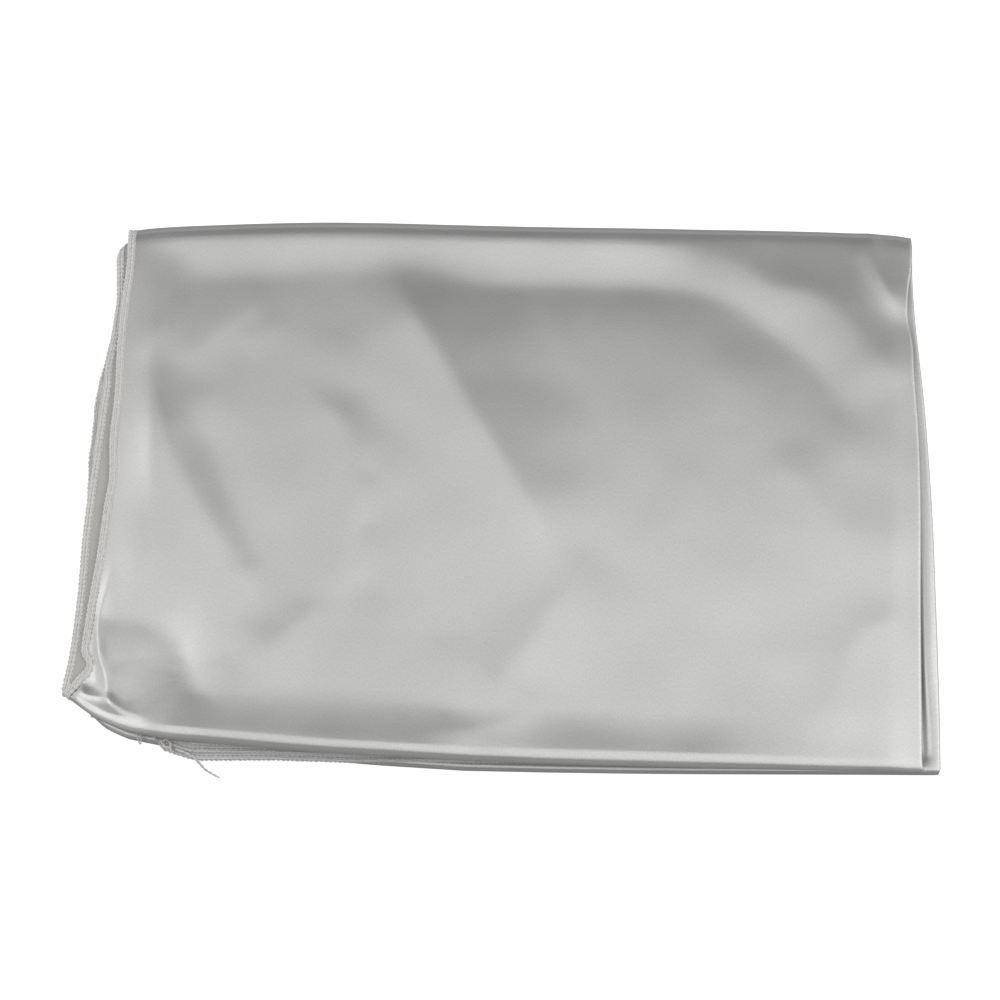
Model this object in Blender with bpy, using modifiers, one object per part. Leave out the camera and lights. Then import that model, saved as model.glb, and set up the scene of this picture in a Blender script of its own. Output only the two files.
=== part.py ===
"""Evening stole of silver-grey satin, folded flat into a packet and laid down.

The stole is one rectangle of single satin, 1.90 m by 0.70 m, overlocked all round. It is folded in half
along its length, so the packet's right side is a fold and its left side shows raw overlocked edges, and then
in half three times across. That makes eight double panels, 0.35 m by 0.2375 m. From the surface up the stack
is 5, 4, 1, 8, 7, 2, 3, 6.

Frame: +Z up, -Y towards the near long side, where the two bundles of folds show, +X along that side with
the overlocked edges at -X. The origin is at the centre of the packet's box, on the surface it rests on.
Metres.
"""
import functools
import math

import bmesh
import bpy
from mathutils import Vector

STOLE_WIDTH = 0.70
PACKET_WIDTH = STOLE_WIDTH / 2

WALL = 0.0012
GAP = 0.0003
HEM_WIDTH = 0.0024
HEM_HEIGHT = 0.0011

# Height of the whole stack and of its lowest fold: fuller at the left, where the thick overlocked edges lie.
STACK_LEFT = 0.0150
STACK_RIGHT = 0.0112
LOW_FOLD_LEFT = 0.0042
LOW_FOLD_RIGHT = 0.0031

# How far each fold's round runs back from its outermost line.
FAR_ROUND = 0.0068
UPPER_ROUND_LEFT = 0.0062
UPPER_ROUND_RIGHT = 0.0034
LOW_ROUND = 0.0022

# Each fold runs on flat for this far, to where its panel starts.
FOLD_LEAD = 0.0010

# Line across the packet where the stretches that show between and under the near folds stop.
NEAR_LIMIT = -0.0775
NEAR_LIMIT_ROUNDS = 4

# How far the upper short end sits back from the lower one, and where the hidden fold starts and ends across.
SHORT_END_STEP = 0.0022
INNER_FOLD_START = 0.035
INNER_FOLD_END = 0.985

COLUMNS = 19
TOP_ROWS = 18
FOLD_STEPS = 8
UNDERSIDE_ROWS = 4
SHORT_END_ROWS = 2
INNER_FOLD_ROWS = 4
CLOSING_ROWS = 4
UNDER_COLUMN_STEP = 4
HEM_SIDES = 6

# How much the columns crowd towards both sides and the rows towards the near side, from 0 to 1.
SIDE_CROWDING = 0.8
NEAR_CROWDING = 0.6

# Outermost line of each fold in plan, from left to right: x, y.
FAR_NOSE = (
    (-0.1587, 0.1173),
    (-0.1500, 0.1185),
    (-0.1300, 0.1194),
    (-0.0957, 0.1207),
    (-0.0656, 0.1211),
    (0.0204, 0.1193),
    (0.1280, 0.1181),
    (0.1667, 0.1164),
    (0.1757, 0.1150),
)
UPPER_NOSE = (
    (-0.1771, -0.0879),
    (-0.1632, -0.0966),
    (-0.1458, -0.1039),
    (-0.1261, -0.1080),
    (-0.0703, -0.1130),
    (0.0041, -0.1176),
    (0.0624, -0.1191),
    (0.1650, -0.1203),
)
LOWER_NOSE = (
    (-0.1645, -0.0962),
    (-0.1593, -0.1008),
    (-0.1465, -0.1065),
    (-0.1339, -0.1106),
    (-0.1100, -0.1125),
    (-0.0700, -0.1137),
    (-0.0330, -0.1175),
    (0.0548, -0.1194),
    (0.1738, -0.1206),
)
SHORT_END = (
    (-0.1357, -0.1100),
    (-0.1209, -0.1142),
    (-0.1050, -0.1140),
    (-0.0870, -0.1141),
    (-0.0600, -0.1150),
    (-0.0300, -0.1146),
    (0.0548, -0.1160),
    (0.1690, -0.1172),
)

# Side edges between the near and far folds, from near to far: y, x.
TOP_LEFT = (
    (-0.0792, -0.1668),
    (-0.0738, -0.1682),
    (-0.0613, -0.1677),
    (-0.0311, -0.1644),
    (0.0010, -0.1619),
    (0.0393, -0.1611),
    (0.0721, -0.1608),
    (0.0969, -0.1593),
)
TOP_RIGHT = (
    (-0.1016, 0.1663),
    (-0.0516, 0.1698),
    (-0.0063, 0.1722),
    (0.0350, 0.1733),
    (0.0633, 0.1730),
    (0.0822, 0.1720),
    (0.0981, 0.1746),
)
RETURN_LEFT = (
    (-0.0777, -0.1752),
    (-0.0600, -0.1735),
    (-0.0230, -0.1716),
    (0.0357, -0.1699),
)
RETURN_RIGHT = (
    (-0.1000, 0.1680),
    (-0.0516, 0.1732),
    (0.0350, 0.1762),
)
LOW_LEFT = (
    (-0.0800, -0.1668),
    (-0.0100, -0.1660),
    (0.0700, -0.1625),
)
LOW_RIGHT = (
    (-0.0844, 0.1752),
    (-0.0108, 0.1768),
    (0.0695, 0.1762),
)
LAYERS_LEFT = (
    (-0.0879, -0.1745),
    (-0.0600, -0.1735),
    (-0.0230, -0.1716),
    (0.0125, -0.1714),
    (0.0357, -0.1699),
    (0.0579, -0.1663),
    (0.0800, -0.1640),
    (0.1100, -0.1645),
)
LAYERS_RIGHT = (
    (-0.1100, 0.1740),
    (-0.0848, 0.1752),
    (-0.0108, 0.1770),
    (0.0350, 0.1767),
    (0.0765, 0.1752),
    (0.1100, 0.1768),
)

# Hidden double panels by their place in the stack: how far each edge reaches from the top panel's edge
# towards the layers' outermost edge, at the left and at the right.
HIDDEN_LAYERS = (
    {"panel": 4, "left": 0.55, "right": 0.90},
    {"panel": 1, "left": 0.85, "right": 0.70},
    {"panel": 8, "left": 0.65, "right": 1.00},
    {"panel": 7, "left": 1.00, "right": 0.60},
    {"panel": 2, "left": 0.92, "right": 0.88},
    {"panel": 3, "left": 0.60, "right": 0.45},
)

# Section of one hidden layer's edge: the part of the layer's height, and whether it reaches the layer's
# outermost line or stays back in the groove below it.
LAYER_GROOVE = 0.0011
LAYER_SECTION = (
    {"part": 0.05, "back": LAYER_GROOVE},
    {"part": 0.35, "back": 0.0},
    {"part": 0.75, "back": 0.0},
)
LAYER_CLEARANCE = 0.0003
LAYERS_STRAIGHT = 0.975

# Main creases of the top panel, soft troughs (negative) and ridges (positive) along a line:
# name, start, end, width, height.
CREASES = (
    ("long diagonal trough", (-0.047, 0.094), (0.030, -0.045), 0.011, -0.0011),
    ("long diagonal ridge", (-0.062, 0.086), (0.012, -0.050), 0.013, 0.0008),
    ("left trough", (-0.148, 0.078), (-0.096, -0.050), 0.012, -0.0010),
    ("right slope", (0.105, 0.090), (0.160, 0.000), 0.018, -0.0009),
    ("far corner trough", (0.146, 0.092), (0.170, 0.068), 0.009, -0.0007),
    ("near ridge", (-0.135, -0.098), (0.150, -0.111), 0.009, 0.0006),
)
CREASE_HEIGHT_AT_ENDS = 0.35
CORNER_DIMPLE = (-0.1640, -0.0850)
CORNER_DIMPLE_WIDTH = 0.008
CORNER_DIMPLE_DEPTH = 0.0012

THREAD_TAIL = (
    (-0.1227, -0.1143, 0.0048),
    (-0.1217, -0.1160, 0.0040),
    (-0.1195, -0.1176, 0.0022),
    (-0.1168, -0.1188, 0.0008),
    (-0.1134, -0.1206, 0.0004),
)
THREAD_DIAMETER = 0.0006

SATIN_COLOUR = (0.43, 0.43, 0.425, 1.0)
THREAD_COLOUR = (0.58, 0.56, 0.54, 1.0)


def mix(a, b, t):
    return a + (b - a) * t


def across(left, right, x):
    """A value that changes evenly from the packet's left side to its right side."""
    return mix(left, right, x / PACKET_WIDTH + 0.5)


def curve_value(rows, t):
    """Smooth curve through rows of (place, value), with slopes taken from each row's neighbours."""
    last = len(rows) - 1
    k = 0
    while k < last - 1 and t > rows[k + 1][0]:
        k += 1
    (t0, v0), (t1, v1) = rows[k], rows[k + 1]
    before, after = rows[max(k - 1, 0)], rows[min(k + 2, last)]
    step = t1 - t0
    slope0 = (v1 - before[1]) / (t1 - before[0]) * step
    slope1 = (after[1] - v0) / (after[0] - t0) * step
    s = min(max((t - t0) / step, 0.0), 1.0)
    square, cube = s * s, s * s * s
    return (
        (2 * cube - 3 * square + 1) * v0
        + (cube - 2 * square + s) * slope0
        + (3 * square - 2 * cube) * v1
        + (cube - square) * slope1
    )


class Patch:
    """Plan of a double panel: u runs from its left edge to its right, v from its near fold to its far one."""

    def __init__(self, near, far, left, right):
        self.near, self.far = near, far
        flip = [(y, x) for x, y in (near[0], far[0], near[-1], far[-1])]
        self.left = (flip[0],) + tuple(left) + (flip[1],)
        self.right = (flip[2],) + tuple(right) + (flip[3],)

    @staticmethod
    def along(rows, t):
        place = mix(rows[0][0], rows[-1][0], t)
        return Vector((place, curve_value(rows, place)))

    def side(self, rows, t):
        y, x = self.along(rows, t)
        return Vector((x, y))

    def plan(self, u, v):
        near, far = self.along(self.near, u), self.along(self.far, u)
        left, right = self.side(self.left, v), self.side(self.right, v)
        corners = mix(
            mix(self.along(self.near, 0), self.along(self.near, 1), u),
            mix(self.along(self.far, 0), self.along(self.far, 1), u),
            v,
        )
        return mix(near, far, v) + mix(left, right, u) - corners

    def depth(self, u):
        return (self.along(self.far, u) - self.along(self.near, u)).length

    def from_near(self, u, distance):
        return self.plan(u, distance / self.depth(u))

    def from_far(self, u, distance):
        return self.plan(u, 1 - distance / self.depth(u))

    def to_near_limit(self, u):
        """Distance from the near fold's outermost line to where the near stretches end."""
        distance = NEAR_LIMIT - self.along(self.near, u).y
        for _ in range(NEAR_LIMIT_ROUNDS):
            distance += NEAR_LIMIT - self.from_near(u, distance).y
        return distance


TOP_PATCH = Patch(UPPER_NOSE, FAR_NOSE, TOP_LEFT, TOP_RIGHT)
RETURN_PATCH = Patch(UPPER_NOSE, FAR_NOSE, RETURN_LEFT, RETURN_RIGHT)
LOW_PATCH = Patch(LOWER_NOSE, FAR_NOSE, LOW_LEFT, LOW_RIGHT)

CLOTH_START = (HEM_WIDTH + 2 * GAP) / PACKET_WIDTH


def stations(start, end, count):
    """Places across the packet, closer together towards both sides."""
    for k in range(count + 1):
        t = k / count
        yield mix(start, end, mix(t, (1 - math.cos(math.pi * t)) / 2, SIDE_CROWDING))


def stack_height(x):
    return across(STACK_LEFT, STACK_RIGHT, x)


def low_fold_height(x):
    return across(LOW_FOLD_LEFT, LOW_FOLD_RIGHT, x)


def upper_round(x):
    return across(UPPER_ROUND_LEFT, UPPER_ROUND_RIGHT, x)


def upper_fold_floor(x):
    """Height at which the upper bundle of folds starts, over the lowest fold and the two short ends."""
    return low_fold_height(x) + 2 * (WALL + GAP) + GAP


def relief(x, y):
    """Height that the creases add to the top panel."""
    total = 0.0
    spot = Vector((x, y))
    for _, start, end, width, height in CREASES:
        start = Vector(start)
        line = Vector(end) - start
        t = min(max((spot - start).dot(line) / line.length_squared, 0.0), 1.0)
        away = (spot - start - line * t).length / width
        fullness = mix(CREASE_HEIGHT_AT_ENDS, 1.0, math.sin(math.pi * t))
        total += height * fullness * math.exp(-away * away)
    away = (spot - Vector(CORNER_DIMPLE)).length / CORNER_DIMPLE_WIDTH
    return total - CORNER_DIMPLE_DEPTH * math.exp(-away * away)


def top_height(x, y):
    return stack_height(x) + relief(x, y)


def material(name, colour, roughness, sheen):
    made = bpy.data.materials.new(name)
    made.use_nodes = True
    shader = made.node_tree.nodes["Principled BSDF"]
    shader.inputs["Base Color"].default_value = colour
    shader.inputs["Roughness"].default_value = roughness
    shader.inputs["Metallic"].default_value = 0.0
    shader.inputs["Sheen Weight"].default_value = sheen
    made.diffuse_color = colour
    return made


def add_object(name, mesh_data, finish, collection):
    data = bpy.data.meshes.new(name)
    mesh_data.to_mesh(data)
    mesh_data.free()
    data.materials.append(finish)
    data.shade_smooth()
    made = bpy.data.objects.new(name, data)
    collection.objects.link(made)
    return made


def add_wall(name, us, rows, place, finish, collection):
    """A cloth wall: an open sheet of columns and rows on its outer side, thickened inwards."""
    sheet = bmesh.new()
    bmesh.ops.create_grid(sheet, x_segments=len(us) - 1, y_segments=len(rows) - 1, size=0.5)
    for vert in sheet.verts:
        column = round((vert.co.x + 0.5) * (len(us) - 1))
        row = round((0.5 - vert.co.y) * (len(rows) - 1))
        vert.co = place(us[column], rows[row])
    made = add_object(name, sheet, finish, collection)
    wall = made.modifiers.new("Wall", "SOLIDIFY")
    wall.thickness = WALL
    wall.offset = -1.0
    wall.use_even_offset = True
    return made


def add_loft(name, rings, finish, collection):
    """A closed body through rings of points, with a flat end at each side."""
    body = bmesh.new()
    loops = [[body.verts.new(point) for point in ring] for ring in rings]
    count = len(loops[0])
    for before, after in zip(loops, loops[1:]):
        for k in range(count):
            following = (k + 1) % count
            body.faces.new((before[k], before[following], after[following], after[k]))
    body.faces.new(reversed(loops[0]))
    body.faces.new(loops[-1])
    bmesh.ops.recalc_face_normals(body, faces=body.faces)
    bmesh.ops.triangulate(body, faces=[face for face in body.faces if len(face.verts) > 4])
    return add_object(name, body, finish, collection)


def fold_round(reach, low, high, angle):
    """Half an ellipse in side view: the run back from the fold's outermost line, and the height."""
    return reach * (1 - math.cos(angle)), mix(low, high, 0.5 + 0.5 * math.sin(angle))


def near_rows(count):
    """Places from the near side to the far side, closer together near the turned corner."""
    return [mix(k / count, (k / count) ** 2, NEAR_CROWDING) for k in range(count + 1)]


def top_point(u, v):
    """Outer side of the top panel, from the end of the upper near fold to the start of the far fold."""
    x = TOP_PATCH.plan(u, 0.5).x
    start = upper_round(x) + FOLD_LEAD + GAP
    end = TOP_PATCH.depth(u) - FAR_ROUND - FOLD_LEAD - GAP
    x, y = TOP_PATCH.from_near(u, mix(start, end, v))
    return Vector((x, y, top_height(x, y)))


def fold_rows(steps):
    """Rows of a fold from its lower end to its upper one: the run on flat beside the round, and the angle."""
    angles = [mix(-math.pi / 2, math.pi / 2, k / steps) for k in range(steps + 1)]
    return [(FOLD_LEAD, angles[0])] + [(0.0, angle) for angle in angles] + [(FOLD_LEAD, angles[-1])]


def far_point(u, row):
    """Outer side of the far fold, from the underside round to the top panel."""
    lead, angle = row
    high = top_height(*TOP_PATCH.from_far(u, FAR_ROUND + FOLD_LEAD))
    run, height = fold_round(FAR_ROUND, 0, high, angle)
    x, y = (TOP_PATCH if angle > 0 else LOW_PATCH).from_far(u, run + lead)
    return Vector((x, y, height))


def underside_point(u, v):
    """Outer side of the underside, flat on the surface, from the lowest near fold to the far fold."""
    start = LOW_ROUND + FOLD_LEAD + GAP
    end = LOW_PATCH.depth(u) - FAR_ROUND - FOLD_LEAD - GAP
    x, y = LOW_PATCH.from_near(u, mix(start, end, v))
    return Vector((x, y, 0.0))


def near_fold_point(patch_over, patch_under, reach, low, high, u, row):
    """Outer side of a near fold: a row of its round, or the back of its return."""
    if row is RETURN_BACK:
        x, y = patch_under.from_near(u, patch_under.to_near_limit(u))
        return Vector((x, y, low))
    lead, angle = row
    run, height = fold_round(reach, low, high, angle)
    x, y = (patch_over if angle > 0 else patch_under).from_near(u, run + lead)
    return Vector((x, y, height))


def upper_near_point(u, row):
    x, _ = TOP_PATCH.from_near(u, 0)
    reach = upper_round(x)
    high = top_height(*TOP_PATCH.from_near(u, reach + FOLD_LEAD))
    return near_fold_point(TOP_PATCH, RETURN_PATCH, reach, upper_fold_floor(x), high, u, row)


def lower_near_point(u, row):
    """Outer side of the lowest fold, which has its return on top."""
    x, _ = LOW_PATCH.from_near(u, 0)
    high = low_fold_height(x)
    point = near_fold_point(LOW_PATCH, LOW_PATCH, LOW_ROUND, 0, high, u, row)
    return Vector((point.x, point.y, high - point.z))


def short_end_point(floor, setback, u, v):
    """Upper side of a raw short end that lies between the two bundles of folds."""
    x, near_y = Patch.along(SHORT_END, u)
    y = mix(near_y + setback, NEAR_LIMIT, v)
    return Vector((x, y, floor(x) + WALL))


def short_floor_lower(x):
    return low_fold_height(x) + GAP


def short_floor_upper(x):
    return low_fold_height(x) + WALL + 2 * GAP


def inner_fold_ring(u):
    """Side section of the hidden fold that lies inside the upper near fold."""
    nose_x, _ = TOP_PATCH.from_near(u, 0)
    inset = WALL + GAP + LAYER_CLEARANCE
    floor = upper_fold_floor(nose_x) + inset
    reach = upper_round(nose_x)
    ridge = top_height(*TOP_PATCH.from_near(u, reach + FOLD_LEAD)) - inset
    back = TOP_PATCH.to_near_limit(u)
    x, y = TOP_PATCH.from_near(u, back)
    ring = [Vector((x, y, floor))]
    for k in range(INNER_FOLD_ROWS):
        x, y = TOP_PATCH.from_near(u, mix(back, reach, k / INNER_FOLD_ROWS))
        ring.append(Vector((x, y, top_height(x, y) - inset)))
    for k in range(FOLD_STEPS + 1):
        angle = mix(math.pi / 2, -math.pi / 2, k / FOLD_STEPS)
        run, height = fold_round(reach - inset, floor, ridge, angle)
        x, y = TOP_PATCH.from_near(u, inset + run)
        ring.append(Vector((x, y, height)))
    return ring


def layered_ring(row, us):
    """Front section of the hidden layers: top, layered right side, bottom, layered left side."""
    inset = WALL + GAP + LAYER_CLEARANCE

    def place(u):
        start, end = TOP_PATCH.to_near_limit(u) + GAP, TOP_PATCH.depth(u) - inset - GAP
        return TOP_PATCH.from_near(u, mix(start, end, row["v"]))

    def squeeze(x, z):
        """Draws the section together where it runs into the far fold."""
        middle = stack_height(x) / 2
        return mix(middle, z, row["full"])

    ring = []
    for u in us:
        x, y = place(u)
        ring.append(Vector((x, y, squeeze(x, top_height(x, y) - inset))))
    sides = {}
    for side, u, outline in (("right", 1.0, LAYERS_RIGHT), ("left", 0.0, LAYERS_LEFT)):
        x, y = place(u)
        outer = curve_value(outline, y)
        low, high = WALL + GAP, top_height(x, y) - inset
        points = []
        count = len(HIDDEN_LAYERS)
        for k, layer in enumerate(HIDDEN_LAYERS):
            nose = mix(x, outer, layer[side])
            for level in LAYER_SECTION:
                reach = nose - math.copysign(level["back"], nose)
                z = mix(low, high, (k + level["part"]) / count)
                points.append(Vector((reach, y, squeeze(x, z))))
        sides[side] = points
    ring.extend(reversed(sides["right"]))
    for u in reversed(us[::UNDER_COLUMN_STEP]):
        x, y = place(u)
        ring.append(Vector((x, y, squeeze(x, WALL + GAP))))
    ring.extend(sides["left"])
    return ring


def hem_rings(edge, inner):
    """Flat oval sections of an overlocked edge, between its outermost line and its line on the cloth."""
    rings = []
    for k, point in enumerate(edge):
        tangent = (edge[min(k + 1, len(edge) - 1)] - edge[max(k - 1, 0)]).normalized()
        half = (inner[k] - point) / 2
        up = tangent.cross(half).normalized()
        middle = point + half - up * (WALL / 2)
        ring = []
        for j in range(HEM_SIDES):
            angle = 2 * math.pi * j / HEM_SIDES
            ring.append(middle + half * math.cos(angle) + up * (HEM_HEIGHT / 2 * math.sin(angle)))
        rings.append(ring)
    return rings


def even_rows(count):
    return [k / count for k in range(count + 1)]


# Stretches of the outermost cloth in order round the packet, each with its rows in that order: from the back
# of the lowest fold's return, along the underside, up the far fold, over the top, down the upper near fold.
RETURN_BACK = "back of the return"
WRAP = (
    ("lower_near_fold", lower_near_point, [RETURN_BACK] + fold_rows(FOLD_STEPS)),
    ("underside_panel", underside_point, even_rows(UNDERSIDE_ROWS)),
    ("far_fold", far_point, fold_rows(FOLD_STEPS)),
    ("top_panel", top_point, near_rows(TOP_ROWS)[::-1]),
    ("upper_near_fold", upper_near_point, fold_rows(FOLD_STEPS)[::-1] + [RETURN_BACK]),
)


def wrap_path(u):
    """Points on the outer side of the outermost cloth, all the way round."""
    path = []
    for _, place, rows in WRAP:
        path.extend(place(u, row) for row in rows[:-1])
    return path + [WRAP[-1][1](u, RETURN_BACK)]


def add_thread_tail(finish, collection):
    """The loose end of the overlock thread at the stole's corner, lying over the lowest fold."""
    route = bpy.data.curves.new("thread_tail", "CURVE")
    route.dimensions = "3D"
    route.bevel_depth = THREAD_DIAMETER / 2
    route.bevel_resolution = 2
    route.use_fill_caps = True
    line = route.splines.new("POLY")
    line.points.add(len(THREAD_TAIL) - 1)
    for point, place in zip(line.points, THREAD_TAIL):
        point.co = (*place, 1.0)
    route.materials.append(finish)
    collection.objects.link(bpy.data.objects.new("thread_tail", route))


def main():
    for old in list(bpy.data.objects):
        bpy.data.objects.remove(old, do_unlink=True)
    packet = bpy.data.collections.new("Evening stole")
    bpy.context.scene.collection.children.link(packet)
    satin = material("Silver satin", SATIN_COLOUR, roughness=0.38, sheen=0.25)
    thread = material("Overlock thread", THREAD_COLOUR, roughness=0.75, sheen=0.1)

    us = list(stations(CLOTH_START, 1.0, COLUMNS))
    for name, place, rows in WRAP:
        add_wall(name, us, rows, place, satin, packet)

    for name, floor, setback in (
        ("short_end_lower", short_floor_lower, 0.0),
        ("short_end_upper", short_floor_upper, SHORT_END_STEP),
    ):
        cloth = setback + HEM_WIDTH + GAP
        place = functools.partial(short_end_point, floor, cloth)
        add_wall(name, us, even_rows(SHORT_END_ROWS)[::-1], place, satin, packet)
        edge = [short_end_point(floor, setback, u, 0) for u in us]
        inner = [short_end_point(floor, setback + HEM_WIDTH, u, 0) for u in us]
        add_loft("hem_" + name, hem_rings(edge, inner), thread, packet)

    long_edge = hem_rings(wrap_path(0.0), wrap_path(HEM_WIDTH / PACKET_WIDTH))
    add_loft("hem_long_edge", long_edge, thread, packet)
    add_thread_tail(thread, packet)

    rings = [inner_fold_ring(u) for u in stations(INNER_FOLD_START, INNER_FOLD_END, COLUMNS)]
    add_loft("upper_inner_fold", rings, satin, packet)

    rows = [{"v": v * LAYERS_STRAIGHT, "full": 1.0} for v in near_rows(TOP_ROWS)]
    for k in range(1, CLOSING_ROWS + 1):
        angle = math.pi / 2 * k / (CLOSING_ROWS + 1)
        rows.append({"v": mix(LAYERS_STRAIGHT, 1.0, math.sin(angle)), "full": math.cos(angle)})
    layers_us = list(stations(0.0, 1.0, COLUMNS))
    add_loft("inner_layers", [layered_ring(row, layers_us) for row in rows], satin, packet)


main()
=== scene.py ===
"""Evening stole of silver-grey satin, folded flat into a packet: cloth, overlocked edges and stage.

The stole is one length of single satin, folded in half along its length and then in half three times
across. That makes eight double panels, sixteen layers. Levels are counted from the surface up, and the
panels 5, 4, 1, 8, 7, 2, 3 and 6, counted along the stole, lie at levels 1 to 8. The two halves of the
stole's width are called the upper and the lower strip: the upper strip is outermost on the packet.
"""

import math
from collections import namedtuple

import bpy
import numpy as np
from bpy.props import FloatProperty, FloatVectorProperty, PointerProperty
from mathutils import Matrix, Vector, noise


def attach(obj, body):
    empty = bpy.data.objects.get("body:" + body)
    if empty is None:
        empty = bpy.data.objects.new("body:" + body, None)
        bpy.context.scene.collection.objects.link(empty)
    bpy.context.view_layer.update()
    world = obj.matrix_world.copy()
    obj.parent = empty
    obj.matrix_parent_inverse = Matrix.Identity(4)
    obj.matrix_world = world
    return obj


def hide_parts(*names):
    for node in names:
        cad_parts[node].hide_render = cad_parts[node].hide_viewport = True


bl_info = {
    "name": "Evening stole",
    "version": (1, 0, 0),
    "blender": (4, 5, 0),
    "location": "View3D > Sidebar > Stole",
    "description": "Cloth, overlock stitches, thread ends and stage for a folded satin evening stole",
    "category": "Object",
}

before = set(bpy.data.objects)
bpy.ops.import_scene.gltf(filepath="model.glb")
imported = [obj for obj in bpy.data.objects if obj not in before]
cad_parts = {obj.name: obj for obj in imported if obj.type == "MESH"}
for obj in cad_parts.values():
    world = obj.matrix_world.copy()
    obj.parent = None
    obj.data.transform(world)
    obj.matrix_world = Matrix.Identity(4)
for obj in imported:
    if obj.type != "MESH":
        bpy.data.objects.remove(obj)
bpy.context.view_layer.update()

STOLE_WIDTH = 0.70
STOLE_LENGTH = 1.90
PACKET_WIDTH = STOLE_WIDTH / 2
PANEL_DEPTH = STOLE_LENGTH / 8

# Height of the whole stack, fuller at the left, where the overlocked edges lie.
STACK_LEFT = 0.0150
STACK_RIGHT = 0.0112

# Share of a panel's depth at which one piece of cloth is joined to the next, out of sight.
JOIN_SHARE = 0.13

# Outermost line of each fold and of the raw short ends in plan: x, y.
FAR_NOSE = (
    (-0.1587, 0.1173), (-0.1500, 0.1185), (-0.1300, 0.1194), (-0.0957, 0.1207), (-0.0656, 0.1211),
    (0.0204, 0.1193), (0.1280, 0.1181), (0.1667, 0.1164), (0.1757, 0.1150),
)
UPPER_NOSE = (
    (-0.1771, -0.0879), (-0.1632, -0.0982), (-0.1535, -0.1030), (-0.1458, -0.1056), (-0.1261, -0.1089),
    (-0.0703, -0.1139), (0.0041, -0.1176), (0.0624, -0.1191), (0.1200, -0.1201), (0.1650, -0.1208),
)
LOWER_NOSE = (
    (-0.1645, -0.0962), (-0.1593, -0.1008), (-0.1465, -0.1065), (-0.1339, -0.1106), (-0.1100, -0.1125),
    (-0.0700, -0.1137), (-0.0330, -0.1175), (0.0548, -0.1194), (0.0900, -0.1196), (0.1300, -0.1197),
    (0.1738, -0.1199),
)
SHORT_END = (
    (-0.1357, -0.1100), (-0.1209, -0.1142), (-0.1050, -0.1140), (-0.0870, -0.1141), (-0.0600, -0.1150),
    (-0.0300, -0.1146), (0.0548, -0.1160), (0.1690, -0.1172),
)
SHORT_END_STEP = 0.0022

# Side edges of the layers in plan, from near to far: y, x.
TOP_EDGE = (
    (-0.0889, -0.1765), (-0.0862, -0.1734), (-0.0817, -0.1696), (-0.0799, -0.1677), (-0.0777, -0.1666),
    (-0.0761, -0.1665), (-0.0737, -0.1681), (-0.0712, -0.1689), (-0.0634, -0.1682), (-0.0507, -0.1669),
    (-0.0311, -0.1644), (-0.0099, -0.1627), (0.0010, -0.1614), (0.0196, -0.1620), (0.0393, -0.1611),
    (0.0638, -0.1612), (0.0822, -0.1604), (0.0969, -0.1593), (0.1122, -0.1593),
)
SECOND_EDGE = (
    (-0.0880, -0.1766), (-0.0710, -0.1739), (-0.0457, -0.1718), (-0.0221, -0.1710), (-0.0025, -0.1698),
    (0.0151, -0.1684), (0.0299, -0.1674), (0.0434, -0.1662), (0.0515, -0.1662), (0.0641, -0.1644),
    (0.0773, -0.1633), (0.0833, -0.1629), (0.1079, -0.1643),
)
THIRD_EDGE = (
    (-0.0833, -0.1737), (-0.0497, -0.1709), (-0.0153, -0.1701), (-0.0008, -0.1703), (0.0111, -0.1706),
    (0.0227, -0.1698), (0.0348, -0.1695), (0.0442, -0.1684), (0.0570, -0.1659), (0.0689, -0.1640),
    (0.0837, -0.1618), (0.1072, -0.1631),
)
DRAWN_IN_EDGE = (
    (-0.1115, -0.1338), (-0.1040, -0.1406), (-0.0950, -0.1500), (-0.0830, -0.1605), (-0.0650, -0.1685),
    (-0.0400, -0.1705), (0.0200, -0.1690), (0.0700, -0.1635), (0.1079, -0.1630),
)
LOWEST_EDGE = (
    (-0.0950, -0.1650), (-0.0800, -0.1668), (-0.0100, -0.1668), (0.0700, -0.1630), (0.1150, -0.1600),
)
OUTER_EDGE = (
    (-0.0879, -0.1745), (-0.0600, -0.1728), (-0.0230, -0.1710), (0.0125, -0.1700), (0.0357, -0.1685),
    (0.0579, -0.1650), (0.0800, -0.1630), (0.1100, -0.1635),
)
TOP_FOLD = (
    (-0.1216, 0.1660), (-0.1017, 0.1670), (-0.0806, 0.1680), (-0.0517, 0.1695), (-0.0064, 0.1722),
    (0.0246, 0.1731), (0.0508, 0.1727), (0.0631, 0.1729), (0.0746, 0.1716), (0.0821, 0.1719),
    (0.0891, 0.1727), (0.0980, 0.1745), (0.1100, 0.1752),
)
OUTER_FOLD = (
    (-0.1189, 0.1736), (-0.1058, 0.1742), (-0.0847, 0.1750), (-0.0416, 0.1762), (-0.0147, 0.1768),
    (0.0126, 0.1768), (0.0346, 0.1765), (0.0560, 0.1756), (0.0763, 0.1748), (0.0946, 0.1748),
    (0.1100, 0.1756),
)

# One row for each level, from the surface up: the top of its share of the stack's height, the side edges of
# its upper and lower strip, and how far its side fold reaches from the top layer's to the outermost one.
LEVELS = (
    {"top": 0.140, "edges": (LOWEST_EDGE, LOWEST_EDGE), "fold": 1.02},
    {"top": 0.280, "edges": (LOWEST_EDGE, LOWEST_EDGE), "fold": 1.08},
    {"top": 0.385, "edges": (DRAWN_IN_EDGE, DRAWN_IN_EDGE), "fold": 0.55},
    {"top": 0.490, "edges": (DRAWN_IN_EDGE, DRAWN_IN_EDGE), "fold": 0.93},
    {"top": 0.620, "edges": (OUTER_EDGE, OUTER_EDGE), "fold": 0.70},
    {"top": 0.745, "edges": (THIRD_EDGE, OUTER_EDGE), "fold": 0.84},
    {"top": 0.870, "edges": (THIRD_EDGE, THIRD_EDGE), "fold": 1.00},
    {"top": 1.000, "edges": (TOP_EDGE, SECOND_EDGE), "fold": 0.00},
)
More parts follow.
